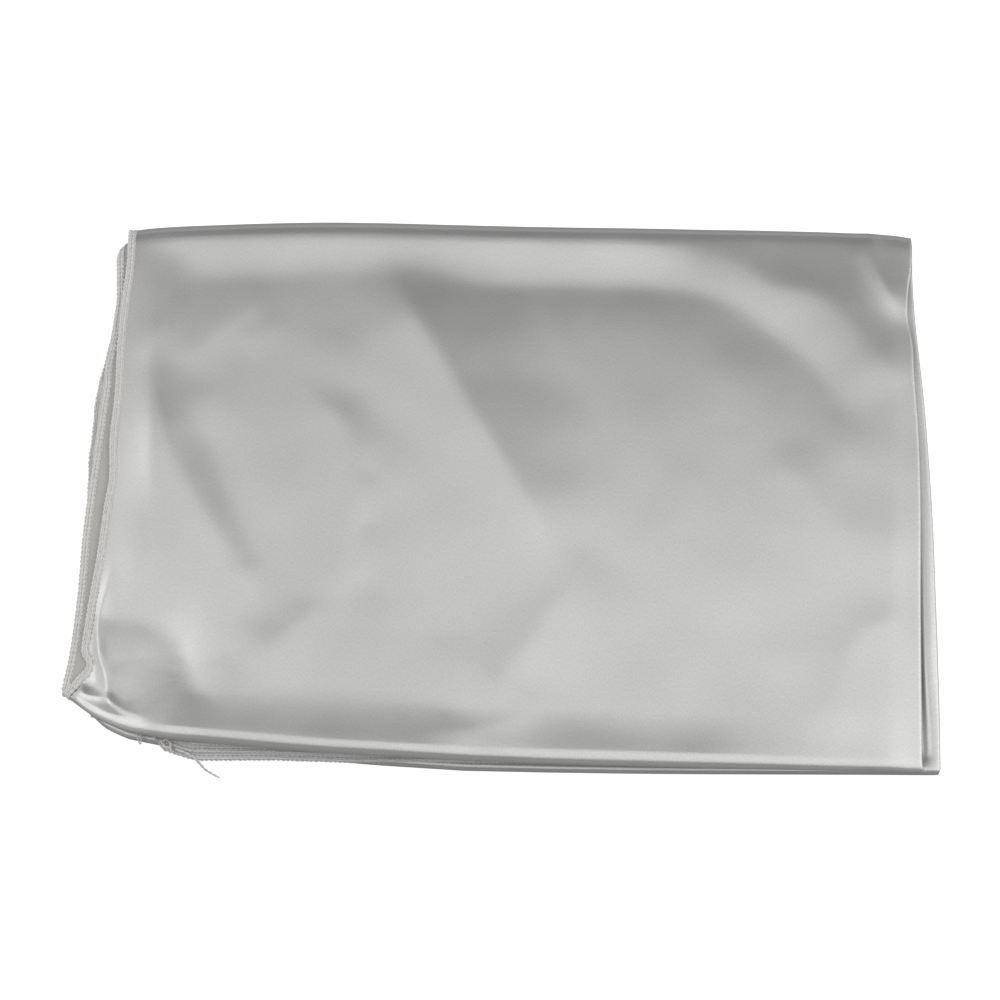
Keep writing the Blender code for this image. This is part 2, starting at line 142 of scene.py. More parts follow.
# Gap between a level's two layers and its neighbours, as a share of the level's height.
PLY_MARGIN_LEFT = 0.20
PLY_MARGIN_RIGHT = 0.06

EVEN_PLACES = (-0.17, 0.17)


def even(value):
    """Rows of a value that is the same all across the packet."""
    return tuple((x, value) for x in EVEN_PLACES)


# Folds across the stole: which levels each joins, and by place across the packet (x) how far its nose sits
# back from the outermost line and how far its round runs back. "rise" below 1 lifts the nose above half its
# height.
FOLDS = {
    ("near", 5, 8): {
        "inset": even(0.0),
        "reach": (
            (-0.177, 0.0026), (-0.160, 0.0038), (-0.145, 0.0044), (-0.100, 0.0045), (-0.030, 0.0046),
            (0.040, 0.0050), (0.165, 0.0042),
        ),
        "rise": 0.60,
    },
    ("near", 6, 7): {
        "inset": ((-0.17, 0.0019), (0.10, 0.0019), (0.17, 0.0002)),
        "reach": ((-0.17, 0.0022), (-0.12, 0.0040), (0.17, 0.0022)),
    },
    ("near", 1, 2): {"inset": even(0.0), "reach": even(0.0024)},
    ("far", 1, 8): {"inset": even(0.0), "reach": even(0.0084)},
    ("far", 2, 7): {"inset": even(0.0021), "reach": even(0.0047)},
    ("far", 3, 6): {"inset": even(0.0038), "reach": even(0.0032)},
    ("far", 4, 5): {"inset": even(0.0052), "reach": even(0.0018)},
}
# The layers under the top one are drawn back at the far left corner, from this place on and by this share.
FAR_CORNER_START = -0.1550
FAR_CORNER_SLANT = 0.90

# How far the inner layer of a fold sits back, and the round of the side fold.
PLY_STEP = 0.0008
SIDE_FOLD_REACH = 0.0013

# Pieces of cloth, as stretches in order along the stole: a panel between two shares of its depth, or a fold
# from its lower end (-1) to its upper end (+1) or back, each with the number of rows.
STRETCHES = {
    "top_cloth": (
        ("panel", 5, JOIN_SHARE, 0.0, 8),
        ("near", 5, 8, 1, 16),
        ("panel", 8, 0.0, 1.0, 118),
        ("far", 1, 8, -1, 16),
        ("panel", 1, 1.0, 1.0 - JOIN_SHARE, 6),
    ),
    "under_cloth": (
        ("panel", 1, 1.0 - JOIN_SHARE, 0.0, 56),
        ("near", 1, 2, 1, 10),
        ("panel", 2, 0.0, JOIN_SHARE, 12),
    ),
    "middle_cloth": (
        ("panel", 2, JOIN_SHARE, 1.0, 46),
        ("far", 2, 7, 1, 10),
        ("panel", 7, 1.0, 0.0, 72),
        ("near", 6, 7, -1, 9),
        ("panel", 6, 0.0, 1.0, 60),
        ("far", 3, 6, -1, 8),
        ("panel", 3, 1.0, 0.0, 64),
    ),
    "end_cloth": (
        ("panel", 4, 0.0, 1.0, 64),
        ("far", 4, 5, 1, 7),
        ("panel", 5, 1.0, JOIN_SHARE, 44),
    ),
}

# Soft creases of the top layer. Each runs along a path of points (x, y) and rises at its crest, or falls
# where that is below zero. It dies away on the left and right of the path, seen along it, over a width and
# with a foot, from 1 for a short firm one to 3 for a long soft one. The crest is how round it is at the top,
# and the ends are the shares of the path over which it fades in and out.
Crease = namedtuple("Crease", "rise left right crest ends path")
CREASES = (
    # Lip along the far fold.
    Crease(0.0015, (0.010, 3.0), (0.009, 2.0), 0.004, (0.10, 0.20), (
        (-0.158, 0.1110), (-0.100, 0.1125), (-0.040, 0.1130), (0.040, 0.1120), (0.105, 0.1080),
    )),
    # Valley behind which the lip and the far right corner rise.
    Crease(-0.0007, (0.010, 1.8), (0.016, 2.6), 0.002, (0.15, 0.30), (
        (-0.050, 0.090), (0.000, 0.089), (0.060, 0.088), (0.085, 0.085), (0.100, 0.079), (0.112, 0.069),
        (0.132, 0.049), (0.142, 0.034), (0.153, 0.018), (0.166, 0.006),
    )),
    # Ridge across the far right corner.
    Crease(0.0009, (0.010, 3.0), (0.014, 1.8), 0.003, (0.30, 0.20), (
        (0.082, 0.110), (0.100, 0.102), (0.114, 0.092), (0.134, 0.086), (0.150, 0.069), (0.168, 0.040),
    )),
    # Turned-down tip of the far right corner.
    Crease(0.0010, (0.005, 2.0), (0.006, 1.6), 0.001, (0.10, 0.40), (
        (0.156, 0.112), (0.159, 0.100), (0.164, 0.088), (0.172, 0.072),
    )),
    # Long sharp fold mark from the far side to the middle.
    Crease(0.0021, (0.025, 1.7), (0.024, 2.6), 0.0012, (0.22, 0.25), (
        (-0.052, 0.105), (-0.047, 0.096), (-0.040, 0.082), (-0.030, 0.064), (-0.019, 0.044),
        (-0.008, 0.024), (0.004, 0.003), (0.014, -0.017), (0.022, -0.035), (0.027, -0.046),
    )),
    # Its turn back to the near side.
    Crease(0.0010, (0.016, 2.8), (0.018, 2.4), 0.0030, (0.40, 0.25), (
        (0.040, -0.026), (0.027, -0.043), (0.018, -0.056), (0.010, -0.068), (0.002, -0.080),
        (-0.006, -0.092), (-0.012, -0.104),
    )),
    # Lips along the near fold, in broad and narrow rows: three on the left, two on the right.
    Crease(0.0016, (0.040, 1.5), (0.030, 2.0), 0.0030, (0.10, 0.25), (
        (-0.1530, -0.0968), (-0.1456, -0.1000), (-0.1380, -0.1036), (-0.126, -0.1056), (-0.096, -0.1069),
        (-0.074, -0.1089), (-0.041, -0.1114), (-0.006, -0.1130),
    )),
    Crease(0.0010, (0.042, 1.1), (0.030, 2.0), 0.0015, (0.20, 0.15), (
        (-0.138, -0.1036), (-0.126, -0.1056), (-0.096, -0.1069), (-0.074, -0.1089), (-0.041, -0.1114),
        (-0.006, -0.1130),
    )),
    Crease(0.0014, (0.010, 1.8), (0.020, 2.0), 0.0010, (0.20, 0.25), (
        (-0.1470, -0.1002), (-0.126, -0.1067), (-0.096, -0.1084), (-0.074, -0.1103), (-0.041, -0.1125),
        (-0.006, -0.1141),
    )),
    Crease(0.0015, (0.032, 1.6), (0.030, 2.0), 0.0030, (0.18, 0.10), (
        (-0.036, -0.1110), (-0.012, -0.1124), (0.015, -0.1132), (0.040, -0.1138), (0.080, -0.1154),
        (0.168, -0.1180),
    )),
    Crease(0.0013, (0.010, 1.8), (0.020, 2.0), 0.0010, (0.18, 0.45), (
        (-0.036, -0.1122), (-0.012, -0.1136), (0.015, -0.1146), (0.040, -0.1152), (0.080, -0.1165),
        (0.150, -0.1186),
    )),
    # Swell where the long fold mark meets the near lip.
    Crease(0.0007, (0.010, 2.0), (0.022, 2.0), 0.0025, (0.45, 0.40), (
        (0.022, -0.084), (0.008, -0.096), (-0.004, -0.102), (-0.020, -0.105), (-0.040, -0.105),
    )),
    # Facets behind the shoulder over the drawn-down near left corner.
    Crease(-0.0024, (0.014, 2.0), (0.020, 2.0), 0.0025, (0.20, 0.45), (
        (-0.172, -0.058), (-0.160, -0.057), (-0.147, -0.058), (-0.138, -0.062), (-0.131, -0.071),
        (-0.126, -0.084), (-0.117, -0.093), (-0.104, -0.097),
    )),
    Crease(-0.0003, (0.006, 2.0), (0.008, 2.0), 0.0010, (0.25, 0.50), (
        (-0.160, -0.078), (-0.152, -0.0765), (-0.144, -0.0745), (-0.136, -0.0730),
    )),
    # Lower ridge from the tip of that corner.
    Crease(0.0010, (0.004, 3.0), (0.004, 3.0), 0.001, (0.10, 0.30), (
        (-0.1720, -0.0875), (-0.1684, -0.0903), (-0.1604, -0.0934), (-0.1524, -0.0983), (-0.1434, -0.1037),
    )),
    # Curled ridge behind it.
    Crease(0.0006, (0.0022, 1.6), (0.0022, 1.6), 0.0004, (0.15, 0.35), (
        (-0.1672, -0.0846), (-0.1682, -0.0873), (-0.1668, -0.0894), (-0.1624, -0.0908), (-0.1592, -0.0918),
        (-0.1559, -0.0939), (-0.1509, -0.0972),
    )),
    # Dark fold mark down the left side, and the hollow it falls into.
    Crease(0.0009, (0.014, 1.4), (0.012, 2.4), 0.0012, (0.28, 0.18), (
        (-0.147, 0.054), (-0.143, 0.036), (-0.139, 0.018), (-0.133, 0.004), (-0.124, -0.011),
        (-0.114, -0.026), (-0.106, -0.042), (-0.101, -0.058),
    )),
    Crease(-0.0005, (0.010, 2.0), (0.008, 1.6), 0.0015, (0.25, 0.25), (
        (-0.128, 0.040), (-0.121, 0.014), (-0.115, -0.001), (-0.107, -0.016), (-0.099, -0.034),
        (-0.095, -0.052),
    )),
    # Rolls along the overlocked side and along the side fold.
    Crease(0.0017, (0.016, 3.0), (0.010, 2.6), 0.003, (0.45, 0.30), (
        (-0.147, 0.112), (-0.146, 0.060), (-0.144, 0.000), (-0.147, -0.040), (-0.152, -0.072),
    )),
    Crease(0.0008, (0.010, 3.0), (0.020, 3.0), 0.003, (0.20, 0.50), (
        (0.163, 0.078), (0.160, 0.000), (0.156, -0.060), (0.154, -0.118),
    )),
    Crease(-0.0005, (0.005, 2.0), (0.005, 2.0), 0.002, (0.45, 0.45), (
        (-0.1455, 0.015), (-0.1450, -0.020), (-0.1455, -0.060),
    )),
    # Small folds in the far left corner.
    Crease(0.0004, (0.013, 1.8), (0.008, 2.0), 0.0020, (0.25, 0.30), (
        (-0.139, 0.050), (-0.131, 0.058), (-0.122, 0.066), (-0.110, 0.077), (-0.094, 0.090),
    )),
    Crease(0.0003, (0.008, 1.8), (0.007, 2.0), 0.0020, (0.40, 0.45), (
        (-0.112, 0.057), (-0.102, 0.066), (-0.090, 0.077),
    )),
    Crease(0.0004, (0.006, 1.8), (0.007, 2.0), 0.0020, (0.25, 0.40), (
        (-0.138, 0.106), (-0.141, 0.088), (-0.142, 0.074), (-0.148, 0.062), (-0.158, 0.054),
    )),
    Crease(-0.0001, (0.010, 2.0), (0.010, 2.0), 0.002, (0.30, 0.35), (
        (-0.136, 0.088), (-0.112, 0.093), (-0.090, 0.094), (-0.062, 0.088),
    )),
    # Faint upright fold in the left half, with a bent tip.
    Crease(0.0005, (0.008, 1.6), (0.010, 2.0), 0.0012, (0.25, 0.40), (
        (-0.086, 0.050), (-0.076, 0.036), (-0.068, 0.029), (-0.063, 0.018), (-0.062, -0.006),
        (-0.064, -0.030), (-0.068, -0.052),
    )),
    Crease(-0.0002, (0.008, 2.0), (0.008, 2.0), 0.002, (0.40, 0.40), (
        (-0.062, 0.052), (-0.054, 0.036), (-0.047, 0.018),
    )),
    # Ripples beside it.
    Crease(-0.0002, (0.008, 2.0), (0.007, 2.0), 0.0020, (0.40, 0.50), (
        (-0.061, 0.003), (-0.054, 0.005), (-0.047, 0.004),
    )),
    Crease(-0.0002, (0.008, 2.0), (0.007, 2.0), 0.0020, (0.40, 0.50), (
        (-0.062, -0.016), (-0.055, -0.018), (-0.046, -0.017),
    )),
    Crease(-0.0002, (0.009, 2.0), (0.008, 2.0), 0.0020, (0.40, 0.50), (
        (-0.062, -0.041), (-0.054, -0.044), (-0.046, -0.043),
    )),
    # Oblique folds before the near side, on the left.
    Crease(0.0006, (0.011, 1.8), (0.009, 2.0), 0.0018, (0.35, 0.40), (
        (-0.104, -0.082), (-0.094, -0.071), (-0.084, -0.061), (-0.070, -0.047),
    )),
    Crease(-0.0003, (0.010, 3.0), (0.010, 2.0), 0.003, (0.30, 0.20), (
        (-0.128, -0.086), (-0.100, -0.088), (-0.060, -0.090), (-0.016, -0.096), (0.012, -0.097),
    )),
    # Bent fold in the near right corner and a shallow dent behind it.
    Crease(0.0005, (0.014, 2.6), (0.009, 2.0), 0.002, (0.30, 0.25), (
        (0.168, -0.054), (0.150, -0.061), (0.141, -0.070), (0.135, -0.083), (0.131, -0.098),
        (0.129, -0.112),
    )),
    Crease(0.0003, (0.010, 2.0), (0.014, 2.4), 0.003, (0.30, 0.35), (
        (0.108, 0.018), (0.122, 0.002), (0.136, -0.016), (0.150, -0.036),
    )),
)
CREASE_STEPS = 5

# Shoulder round the drawn-down near left corner: its path, the drop beyond it and the lip along it. Each fade
# is steeper where its number is higher.
SHOULDER = (
    (-0.1575, -0.0300), (-0.1605, -0.0464), (-0.1623, -0.0543), (-0.1628, -0.0643), (-0.1616, -0.0733),
    (-0.1592, -0.0815), (-0.1577, -0.0891), (-0.1563, -0.0930), (-0.1530, -0.0962), (-0.1456, -0.0993),
    (-0.1388, -0.1034),
)
SHOULDER_WIDTH = 0.0100
SHOULDER_DROP = 0.0075
SHOULDER_LIP = 0.0005
SHOULDER_LIP_WIDTH = 0.0018
SHOULDER_LIP_END = 0.63
SHOULDER_FADE_IN = 2
SHOULDER_FADE_OUT = 5
SHOULDER_LIP_FADE = 8
# Small hollow in that corner.
CORNER_HOLLOW = (-0.1634, -0.0832)
CORNER_HOLLOW_WIDTH = 0.0034
CORNER_HOLLOW_DEPTH = 0.0004

# Faint unevenness all over the top layer: distance from swell to swell and height.
UNEVEN_LENGTH = 0.024
UNEVEN_HEIGHT = 0.00024

# Dip of the layers beside the top layer's side fold: its depth at the far and the near side, its place and
# width, how both change near the near corner, and the roll at the layers' own fold.
SIDE_DIP_FAR = 0.0002
SIDE_DIP_NEAR = 0.0036
SIDE_DIP_PLACE = -0.0010
SIDE_DIP_WIDTH = 0.0027
SIDE_DIP_SHIFT = 0.0014
SIDE_DIP_SPREAD = 0.0012
SIDE_SPREAD_START = 0.8
SIDE_SPREAD_RUN = 0.2
SIDE_DIP_END = -0.1215
SIDE_DIP_FADE = 0.009
SIDE_ROLL = 0.0009
SIDE_ROLL_START = 0.30
SIDE_ROLL_LIMIT = 1.2

# Loose thread ends and a loop at the near left corner, and the knot where the overlocked edges meet: radius,
# how often two strands wind round each other (0 for a single strand) and the far end's share of the radius.
ThreadEnd = namedtuple("ThreadEnd", "radius twists taper points")
THREAD_ENDS = (
    ThreadEnd(0.00034, 5, 0.7, (
        (-0.1300, -0.1108, 0.0084), (-0.1262, -0.1124, 0.0084), (-0.1232, -0.1140, 0.0080),
        (-0.1210, -0.1158, 0.0062), (-0.1190, -0.1176, 0.0030), (-0.1164, -0.1190, 0.0009),
        (-0.1134, -0.1206, 0.0004),
    )),
    ThreadEnd(0.00022, 0, 0.8, (
        (-0.1462, -0.1030, 0.0082), (-0.1490, -0.1015, 0.0070), (-0.1512, -0.1012, 0.0060),
        (-0.1528, -0.1003, 0.0056), (-0.1522, -0.0996, 0.0060), (-0.1506, -0.1003, 0.0064),
        (-0.1500, -0.1014, 0.0066),
    )),
    ThreadEnd(0.00030, 0, 1.0, (
        (-0.1458, -0.1012, 0.0086), (-0.1459, -0.1040, 0.0074), (-0.1455, -0.1068, 0.0056),
        (-0.1450, -0.1078, 0.0044), (-0.1444, -0.1068, 0.0056), (-0.1445, -0.1040, 0.0074),
        (-0.1446, -0.1012, 0.0086),
    )),
    ThreadEnd(0.00036, 4, 0.9, (
        (-0.1362, -0.1070, 0.0084), (-0.1350, -0.1094, 0.0088), (-0.1330, -0.1108, 0.0080),
        (-0.1322, -0.1090, 0.0086), (-0.1338, -0.1072, 0.0090), (-0.1352, -0.1078, 0.0082),
        (-0.1344, -0.1100, 0.0080), (-0.1326, -0.1102, 0.0090), (-0.1316, -0.1122, 0.0080),
    )),
)
THREAD_STEPS = 9
THREAD_SIDES = 7
THREAD_REFERENCE = (0.31, 0.22, 0.93)
STRAND_REACH = 0.9
STRAND_FLATNESS = 0.4

# Share of a strip's width at which the cloth's direction beside an overlocked edge is taken, and how many
# heights of the edge its middle stays above the floor.
EDGE_MARGIN = 0.012
EDGE_CLEARANCE = 1.5
# Steps in a stitch and sides of the thread, for edges seen close, at the short ends and hidden ones.
SEEN_STITCH = (7, 6)
END_STITCH = (6, 5)
HIDDEN_STITCH = (5, 3)

# Where the search for a row's ends starts, left and right, its rounds and its stride.
SETTLE_LEFT = -0.165
SETTLE_RIGHT = 0.172
SETTLE_ROUNDS = 10
SETTLE_STRIDE = 0.8
# How strongly the top panel's rows crowd towards the near side.
NEAR_CROWDING = 0.55
# The packet's sides, as shares of its width that the stack's height runs on to.
SIDE_SHARES = (-0.02, 1.02)

# Satin weave: yarns, the parts of its height, and the stretch, scale and detail of its streaks and clouds.
YARNS_PER_METRE = 4200.0
WEAVE_UNEVENNESS = 0.5
WEFT_SHARE = 0.35
YARN_SHARE = 0.3
STREAK_STRETCH = (1.0, 0.45, 1.0)
STREAK_SCALE = 2100.0
STREAK_DETAIL = 2.0
CLOUD_SCALE = 26.0
CLOUD_DETAIL = 4.0
# How streaks and clouds share in the colour, the darkest and lightest of it, and the range of roughness.
STREAK_SHARE = 0.75
CLOUD_SHARE = 0.25
CLOTH_TONES = (0.72, 1.28)
ROUGHNESS_RANGE = 0.10
SHEEN_ROUGHNESS = 0.45
WEAVE_DEPTH = 0.00004
# Thread: scale and detail of its fibres, its darkest and lightest tone, sheen and relief.
FIBRE_SCALE = 900.0
FIBRE_DETAIL = 3.0
THREAD_TONES = (0.82, 1.15)
THREAD_SHEEN = 0.2
FIBRE_BUMP = 0.5
FIBRE_DEPTH = 0.00005

# Overlock: how stitches wander along the edge and vary in height, the place and hand of its two cords across
# the width and how far they reach, then the line at the very edge and the needle line.
WANDER_SCALE = 260.0
WANDER_TURN = 1.6
WANDER_HEIGHT = 0.5
LEAST_HEIGHT = 0.75
CORDS = ((0.25, 1.0), (0.75, -1.0))
CORD_REACH = 0.25
CORD_INSET = 0.8
EDGE_THREAD_REACH = 0.5
EDGE_THREAD_RISE = 0.3
EDGE_THREAD_SIZE = 1.1
NEEDLE_PLACE = 1.10
NEEDLE_DIP = 1.6
NEEDLE_SIZE = 0.7


def length_setting(name, description, default):
    return FloatProperty(name=name, description=description, default=default, unit="LENGTH")


def number_setting(name, description, default):
    return FloatProperty(name=name, description=description, default=default)


def colour_setting(name, description, default):
    return FloatVectorProperty(name=name, description=description, subtype="COLOR", default=default)


class StoleCloth(bpy.types.PropertyGroup):
    thickness: length_setting("Thickness", "Thickness of one layer of satin", 0.00022)
    satin_colour: colour_setting("Satin", "Colour of the satin's face", (0.46, 0.46, 0.455))
    back_colour: colour_setting("Back", "Colour of the satin's dull back", (0.40, 0.395, 0.38))


class StoleStitches(bpy.types.PropertyGroup):
    pitch: length_setting("Pitch", "Distance from one overlock stitch to the next", 0.0019)
    width: length_setting("Width", "Width of the overlocked edge", 0.0024)
    height: length_setting("Height", "Height of the overlocked edge", 0.0011)
    thread_radius: length_setting("Thread radius", "Half the thickness of the thread", 0.00041)
    thread_colour: colour_setting("Thread", "Colour of the overlock thread", (0.59, 0.575, 0.565))


class StoleStage(bpy.types.PropertyGroup):
    elevation: FloatProperty(
        name="Elevation", description="Angle of the camera above the surface", subtype="ANGLE",
        default=math.radians(70),
    )
    distance: length_setting("Distance", "Distance from the camera to the packet", 1.0)
    lens: number_setting("Lens", "Focal length of the camera in millimetres", 87.12)
    target: FloatVectorProperty(
        name="Target", description="Point that the camera looks at", subtype="TRANSLATION",
        default=(-0.0011, -0.0050, 0.0070),
    )
    floor_size: length_setting("Floor", "Side of the square floor", 12.0)
    floor_colour: colour_setting("Floor colour", "Colour of the floor", (0.35, 0.35, 0.35))
    floor_glow: colour_setting(
        "Floor glow", "Light of its own that the floor shows the camera", (0.85, 0.85, 0.85)
    )
    floor_bounce: colour_setting(
        "Floor bounce", "Colour of the light that the floor throws back", (0.34, 0.34, 0.34)
    )
    sky_strength: number_setting("Surround", "Brightness of the plain surround on the satin", 0.13)
    backdrop: number_setting("Backdrop", "Brightness of the surround where the camera sees it", 0.90)


def mix(a, b, t):
    return a + (b - a) * t


def smooth_step(t):
    t = np.clip(t, 0.0, 1.0)
    return t * t * (3 - 2 * t)


class Line:
    """Smooth curve through rows of (place, value), run on straight past both ends."""

    def __init__(self, rows):
        self.places, self.values = np.array(rows, float).T
        self.slopes = np.empty(len(rows))
        self.slopes[1:-1] = (self.values[2:] - self.values[:-2]) / (self.places[2:] - self.places[:-2])
        for end, inner in ((0, 1), (-1, -2)):
            run = self.places[inner] - self.places[end]
            self.slopes[end] = (self.values[inner] - self.values[end]) / run

    def at(self, t):
        inside = np.clip(t, self.places[0], self.places[-1])
        k = np.clip(np.searchsorted(self.places, inside, side="right") - 1, 0, len(self.places) - 2)
        step = self.places[k + 1] - self.places[k]
        s = (inside - self.places[k]) / step
        square, cube = s * s, s * s * s
        value = (
            (2 * cube - 3 * square + 1) * self.values[k]
            + (cube - 2 * square + s) * self.slopes[k] * step
            + (3 * square - 2 * cube) * self.values[k + 1]
            + (cube - square) * self.slopes[k + 1] * step
        )
        end_slope = np.where(t < inside, self.slopes[0], self.slopes[-1])
        return value + (t - inside) * end_slope


FAR_LINE = Line(FAR_NOSE)
UPPER_LINE = Line(UPPER_NOSE)
LOWER_LINE = Line(LOWER_NOSE)
SHORT_LINE = Line(SHORT_END)
TOP_FOLD_LINE = Line(TOP_FOLD)
OUTER_FOLD_LINE = Line(OUTER_FOLD)


def across(left, right, x):
    """A value that changes evenly from the packet's left side to its right side."""
    return mix(left, right, np.clip(x / PACKET_WIDTH + 0.5, *SIDE_SHARES))


def stack_height(x):
    return across(STACK_LEFT, STACK_RIGHT, x)


def smooth_path(path, steps=CREASE_STEPS):
    """The points of a path, with smooth curves between them."""
    places = np.arange(len(path))
    dense = np.linspace(0, len(path) - 1, (len(path) - 1) * steps + 1)
    lines = [Line(np.stack([places, values], axis=1)) for values in np.array(path).T]
    return np.stack([line.at(dense) for line in lines], axis=1)


def path_distance(x, y, path):
    """Distance to a path, positive on its left, and the share of its length at the nearest place."""
    points = smooth_path(path)
    lengths = np.linalg.norm(np.diff(points, axis=0), axis=1)
    starts = np.concatenate(([0.0], np.cumsum(lengths)))
    best = np.full(np.shape(x), np.inf)
    signed = np.zeros(np.shape(x))
    along = np.zeros(np.shape(x))
    for k, (start, length) in enumerate(zip(points[:-1], lengths)):
        direction = (points[k + 1] - start) / length
        dx, dy = x - start[0], y - start[1]
        t = np.clip(dx * direction[0] + dy * direction[1], 0.0, length)
        away = np.hypot(dx - t * direction[0], dy - t * direction[1])
        side = np.sign(direction[0] * dy - direction[1] * dx)
        nearer = away < best
        best = np.where(nearer, away, best)
        signed = np.where(nearer, away * side, signed)
        along = np.where(nearer, (starts[k] + t) / starts[-1], along)
    return signed, along


def unevenness(x, y):
    """Slight swells of the cloth between its creases."""
    places = zip((x / UNEVEN_LENGTH).ravel(), (y / UNEVEN_LENGTH).ravel())
    swells = [noise.noise((place_x, place_y, 0.5)) for place_x, place_y in places]
    return UNEVEN_HEIGHT * np.reshape(swells, np.shape(x))


def relief(x, y):
    """Height that the creases and the drawn-down corner add to the top layer."""
    total = np.zeros(np.shape(x))
    for crease in CREASES:
        away, along = path_distance(x, y, crease.path)
        start, end = crease.ends
        fade = smooth_step(along / start) * smooth_step((1 - along) / end)
        rounded = np.hypot(away, crease.crest) - crease.crest
        width, foot = (np.where(away > 0, *sides) for sides in zip(crease.left, crease.right))
        total += crease.rise * fade * np.clip(1 - rounded / (foot * width), 0.0, None) ** foot
    away, along = path_distance(x, y, SHOULDER)
    fade = smooth_step(along * SHOULDER_FADE_IN) * smooth_step((1 - along) * SHOULDER_FADE_OUT)
    lip = SHOULDER_LIP * fade * smooth_step((SHOULDER_LIP_END - along) * SHOULDER_LIP_FADE)
    total += lip * np.exp(-((away / SHOULDER_LIP_WIDTH) ** 2))
    beyond = np.clip(-away / SHOULDER_WIDTH, 0.0, None)
    total -= SHOULDER_DROP * fade * beyond / (1 + beyond)
    hollow = np.hypot(x - CORNER_HOLLOW[0], y - CORNER_HOLLOW[1]) / CORNER_HOLLOW_WIDTH
    return total - CORNER_HOLLOW_DEPTH * np.exp(-hollow * hollow) + unevenness(x, y)


def side_dip(x, y):
    """How far the layers under the top one sink beside its side fold and roll off at their own."""
    nearness = 0.5 - y / PANEL_DEPTH
    fade = smooth_step((y - SIDE_DIP_END) / SIDE_DIP_FADE)
    depth = mix(SIDE_DIP_FAR, SIDE_DIP_NEAR, nearness * nearness) * fade
    spread = smooth_step((nearness - SIDE_SPREAD_START) / SIDE_SPREAD_RUN)
    past = x - TOP_FOLD_LINE.at(y)
    width = SIDE_DIP_WIDTH + SIDE_DIP_SPREAD * spread
    beyond = (past - SIDE_DIP_PLACE - SIDE_DIP_SHIFT * spread) / width
    strip = OUTER_FOLD_LINE.at(y) - TOP_FOLD_LINE.at(y)
    rolled = np.clip((past / strip - SIDE_ROLL_START) / (1 - SIDE_ROLL_START), 0.0, SIDE_ROLL_LIMIT)
    return depth * np.exp(-beyond * beyond) + SIDE_ROLL * rolled * rolled


def is_upper(level, strip):
    """The strip of the stole that is uppermost in the top panel is uppermost at every even level."""
    return (level % 2 == 0) == (strip == 0)


def layer_height(level, strip, x, y):
    """Height of a layer's outer face."""
    low = LEVELS[level - 2]["top"] if level > 1 else 0.0
    high = LEVELS[level - 1]["top"]
    margin = across(PLY_MARGIN_LEFT, PLY_MARGIN_RIGHT, x) * (high - low)
    if is_upper(level, strip):
        share = high - (margin if level < len(LEVELS) else 0.0)
    else:
        share = low + (margin if level > 1 else 0.0)
    sunk = side_dip(x, y) if level < len(LEVELS) else 0.0
    return share * stack_height(x) + share * share * (relief(x, y) - sunk)


def near_line(level, x):
    if level in (5, 6, 7, 8):
        return UPPER_LINE.at(x)
    if level in (1, 2):
        return LOWER_LINE.at(x)
    return SHORT_LINE.at(x)


def fold_at(side, level):
    """The fold that a level runs into at its near or far side, or None at a raw short end."""
    for key in FOLDS:
        if key[0] == side and level in key[1:]:
            return key
    return None


def corner_cut(key, strip, x):
    """How far a strip is drawn back at the far left corner."""
    if key[0] == "near" or (key == ("far", 1, 8) and strip == 0):
        return 0.0
    return FAR_CORNER_SLANT * np.clip(FAR_CORNER_START - x, 0.0, None)


def fold_inset(key, strip, x):
    """How far a strip's nose sits back from the outermost line in a fold."""
    ply = 0.0 if is_upper(key[2], strip) else PLY_STEP
    return Line(FOLDS[key]["inset"]).at(x) + ply + corner_cut(key, strip, x)


def fold_reach(key, strip, x):
    """How far from the outermost line a fold's panels start."""
    return Line(FOLDS[key]["inset"]).at(x) + Line(FOLDS[key]["reach"]).at(x) + corner_cut(key, strip, x)


def edge_line(level, strip):
    return Line(LEVELS[level - 1]["edges"][strip])


def fold_side(level, y):
    """Outermost line of a level's fold at the packet's right side."""
    return mix(TOP_FOLD_LINE.at(y), OUTER_FOLD_LINE.at(y), LEVELS[level - 1]["fold"])


def settle(x, place_y, side_x):
    """Finds where a row of the cloth meets a side line, which is given as x by y."""
    for _ in range(SETTLE_ROUNDS):
        x = mix(x, side_x(place_y(x)), SETTLE_STRIDE)
    return x


def panel_rows(level, strip, start, end, count, us):
    """Points of one layer of a panel: rows between two shares of its depth, columns at shares across."""
    t = mix(start, end, row_shares(count, level))[:, None]
    near_key, far_key = fold_at("near", level), fold_at("far", level)
    raw_inset = SHORT_END_STEP if level == 4 else 0.0

    def place_y(x):
        near_y, far_y = near_line(level, x), FAR_LINE.at(x)
        near_take = fold_reach(near_key, strip, x) if near_key else raw_inset
        far_take = fold_reach(far_key, strip, x)
        return mix(near_y + near_take, far_y - far_take, t)

    edge = edge_line(level, strip)
    left = settle(np.full(t.shape, SETTLE_LEFT), place_y, edge.at)
    right = settle(np.full(t.shape, SETTLE_RIGHT), place_y, lambda y: fold_side(level, y)) - SIDE_FOLD_REACH
    x = mix(left, right, us[None, :])
    y = place_y(x)
    return np.stack([x, y, layer_height(level, strip, x, y)], axis=-1)


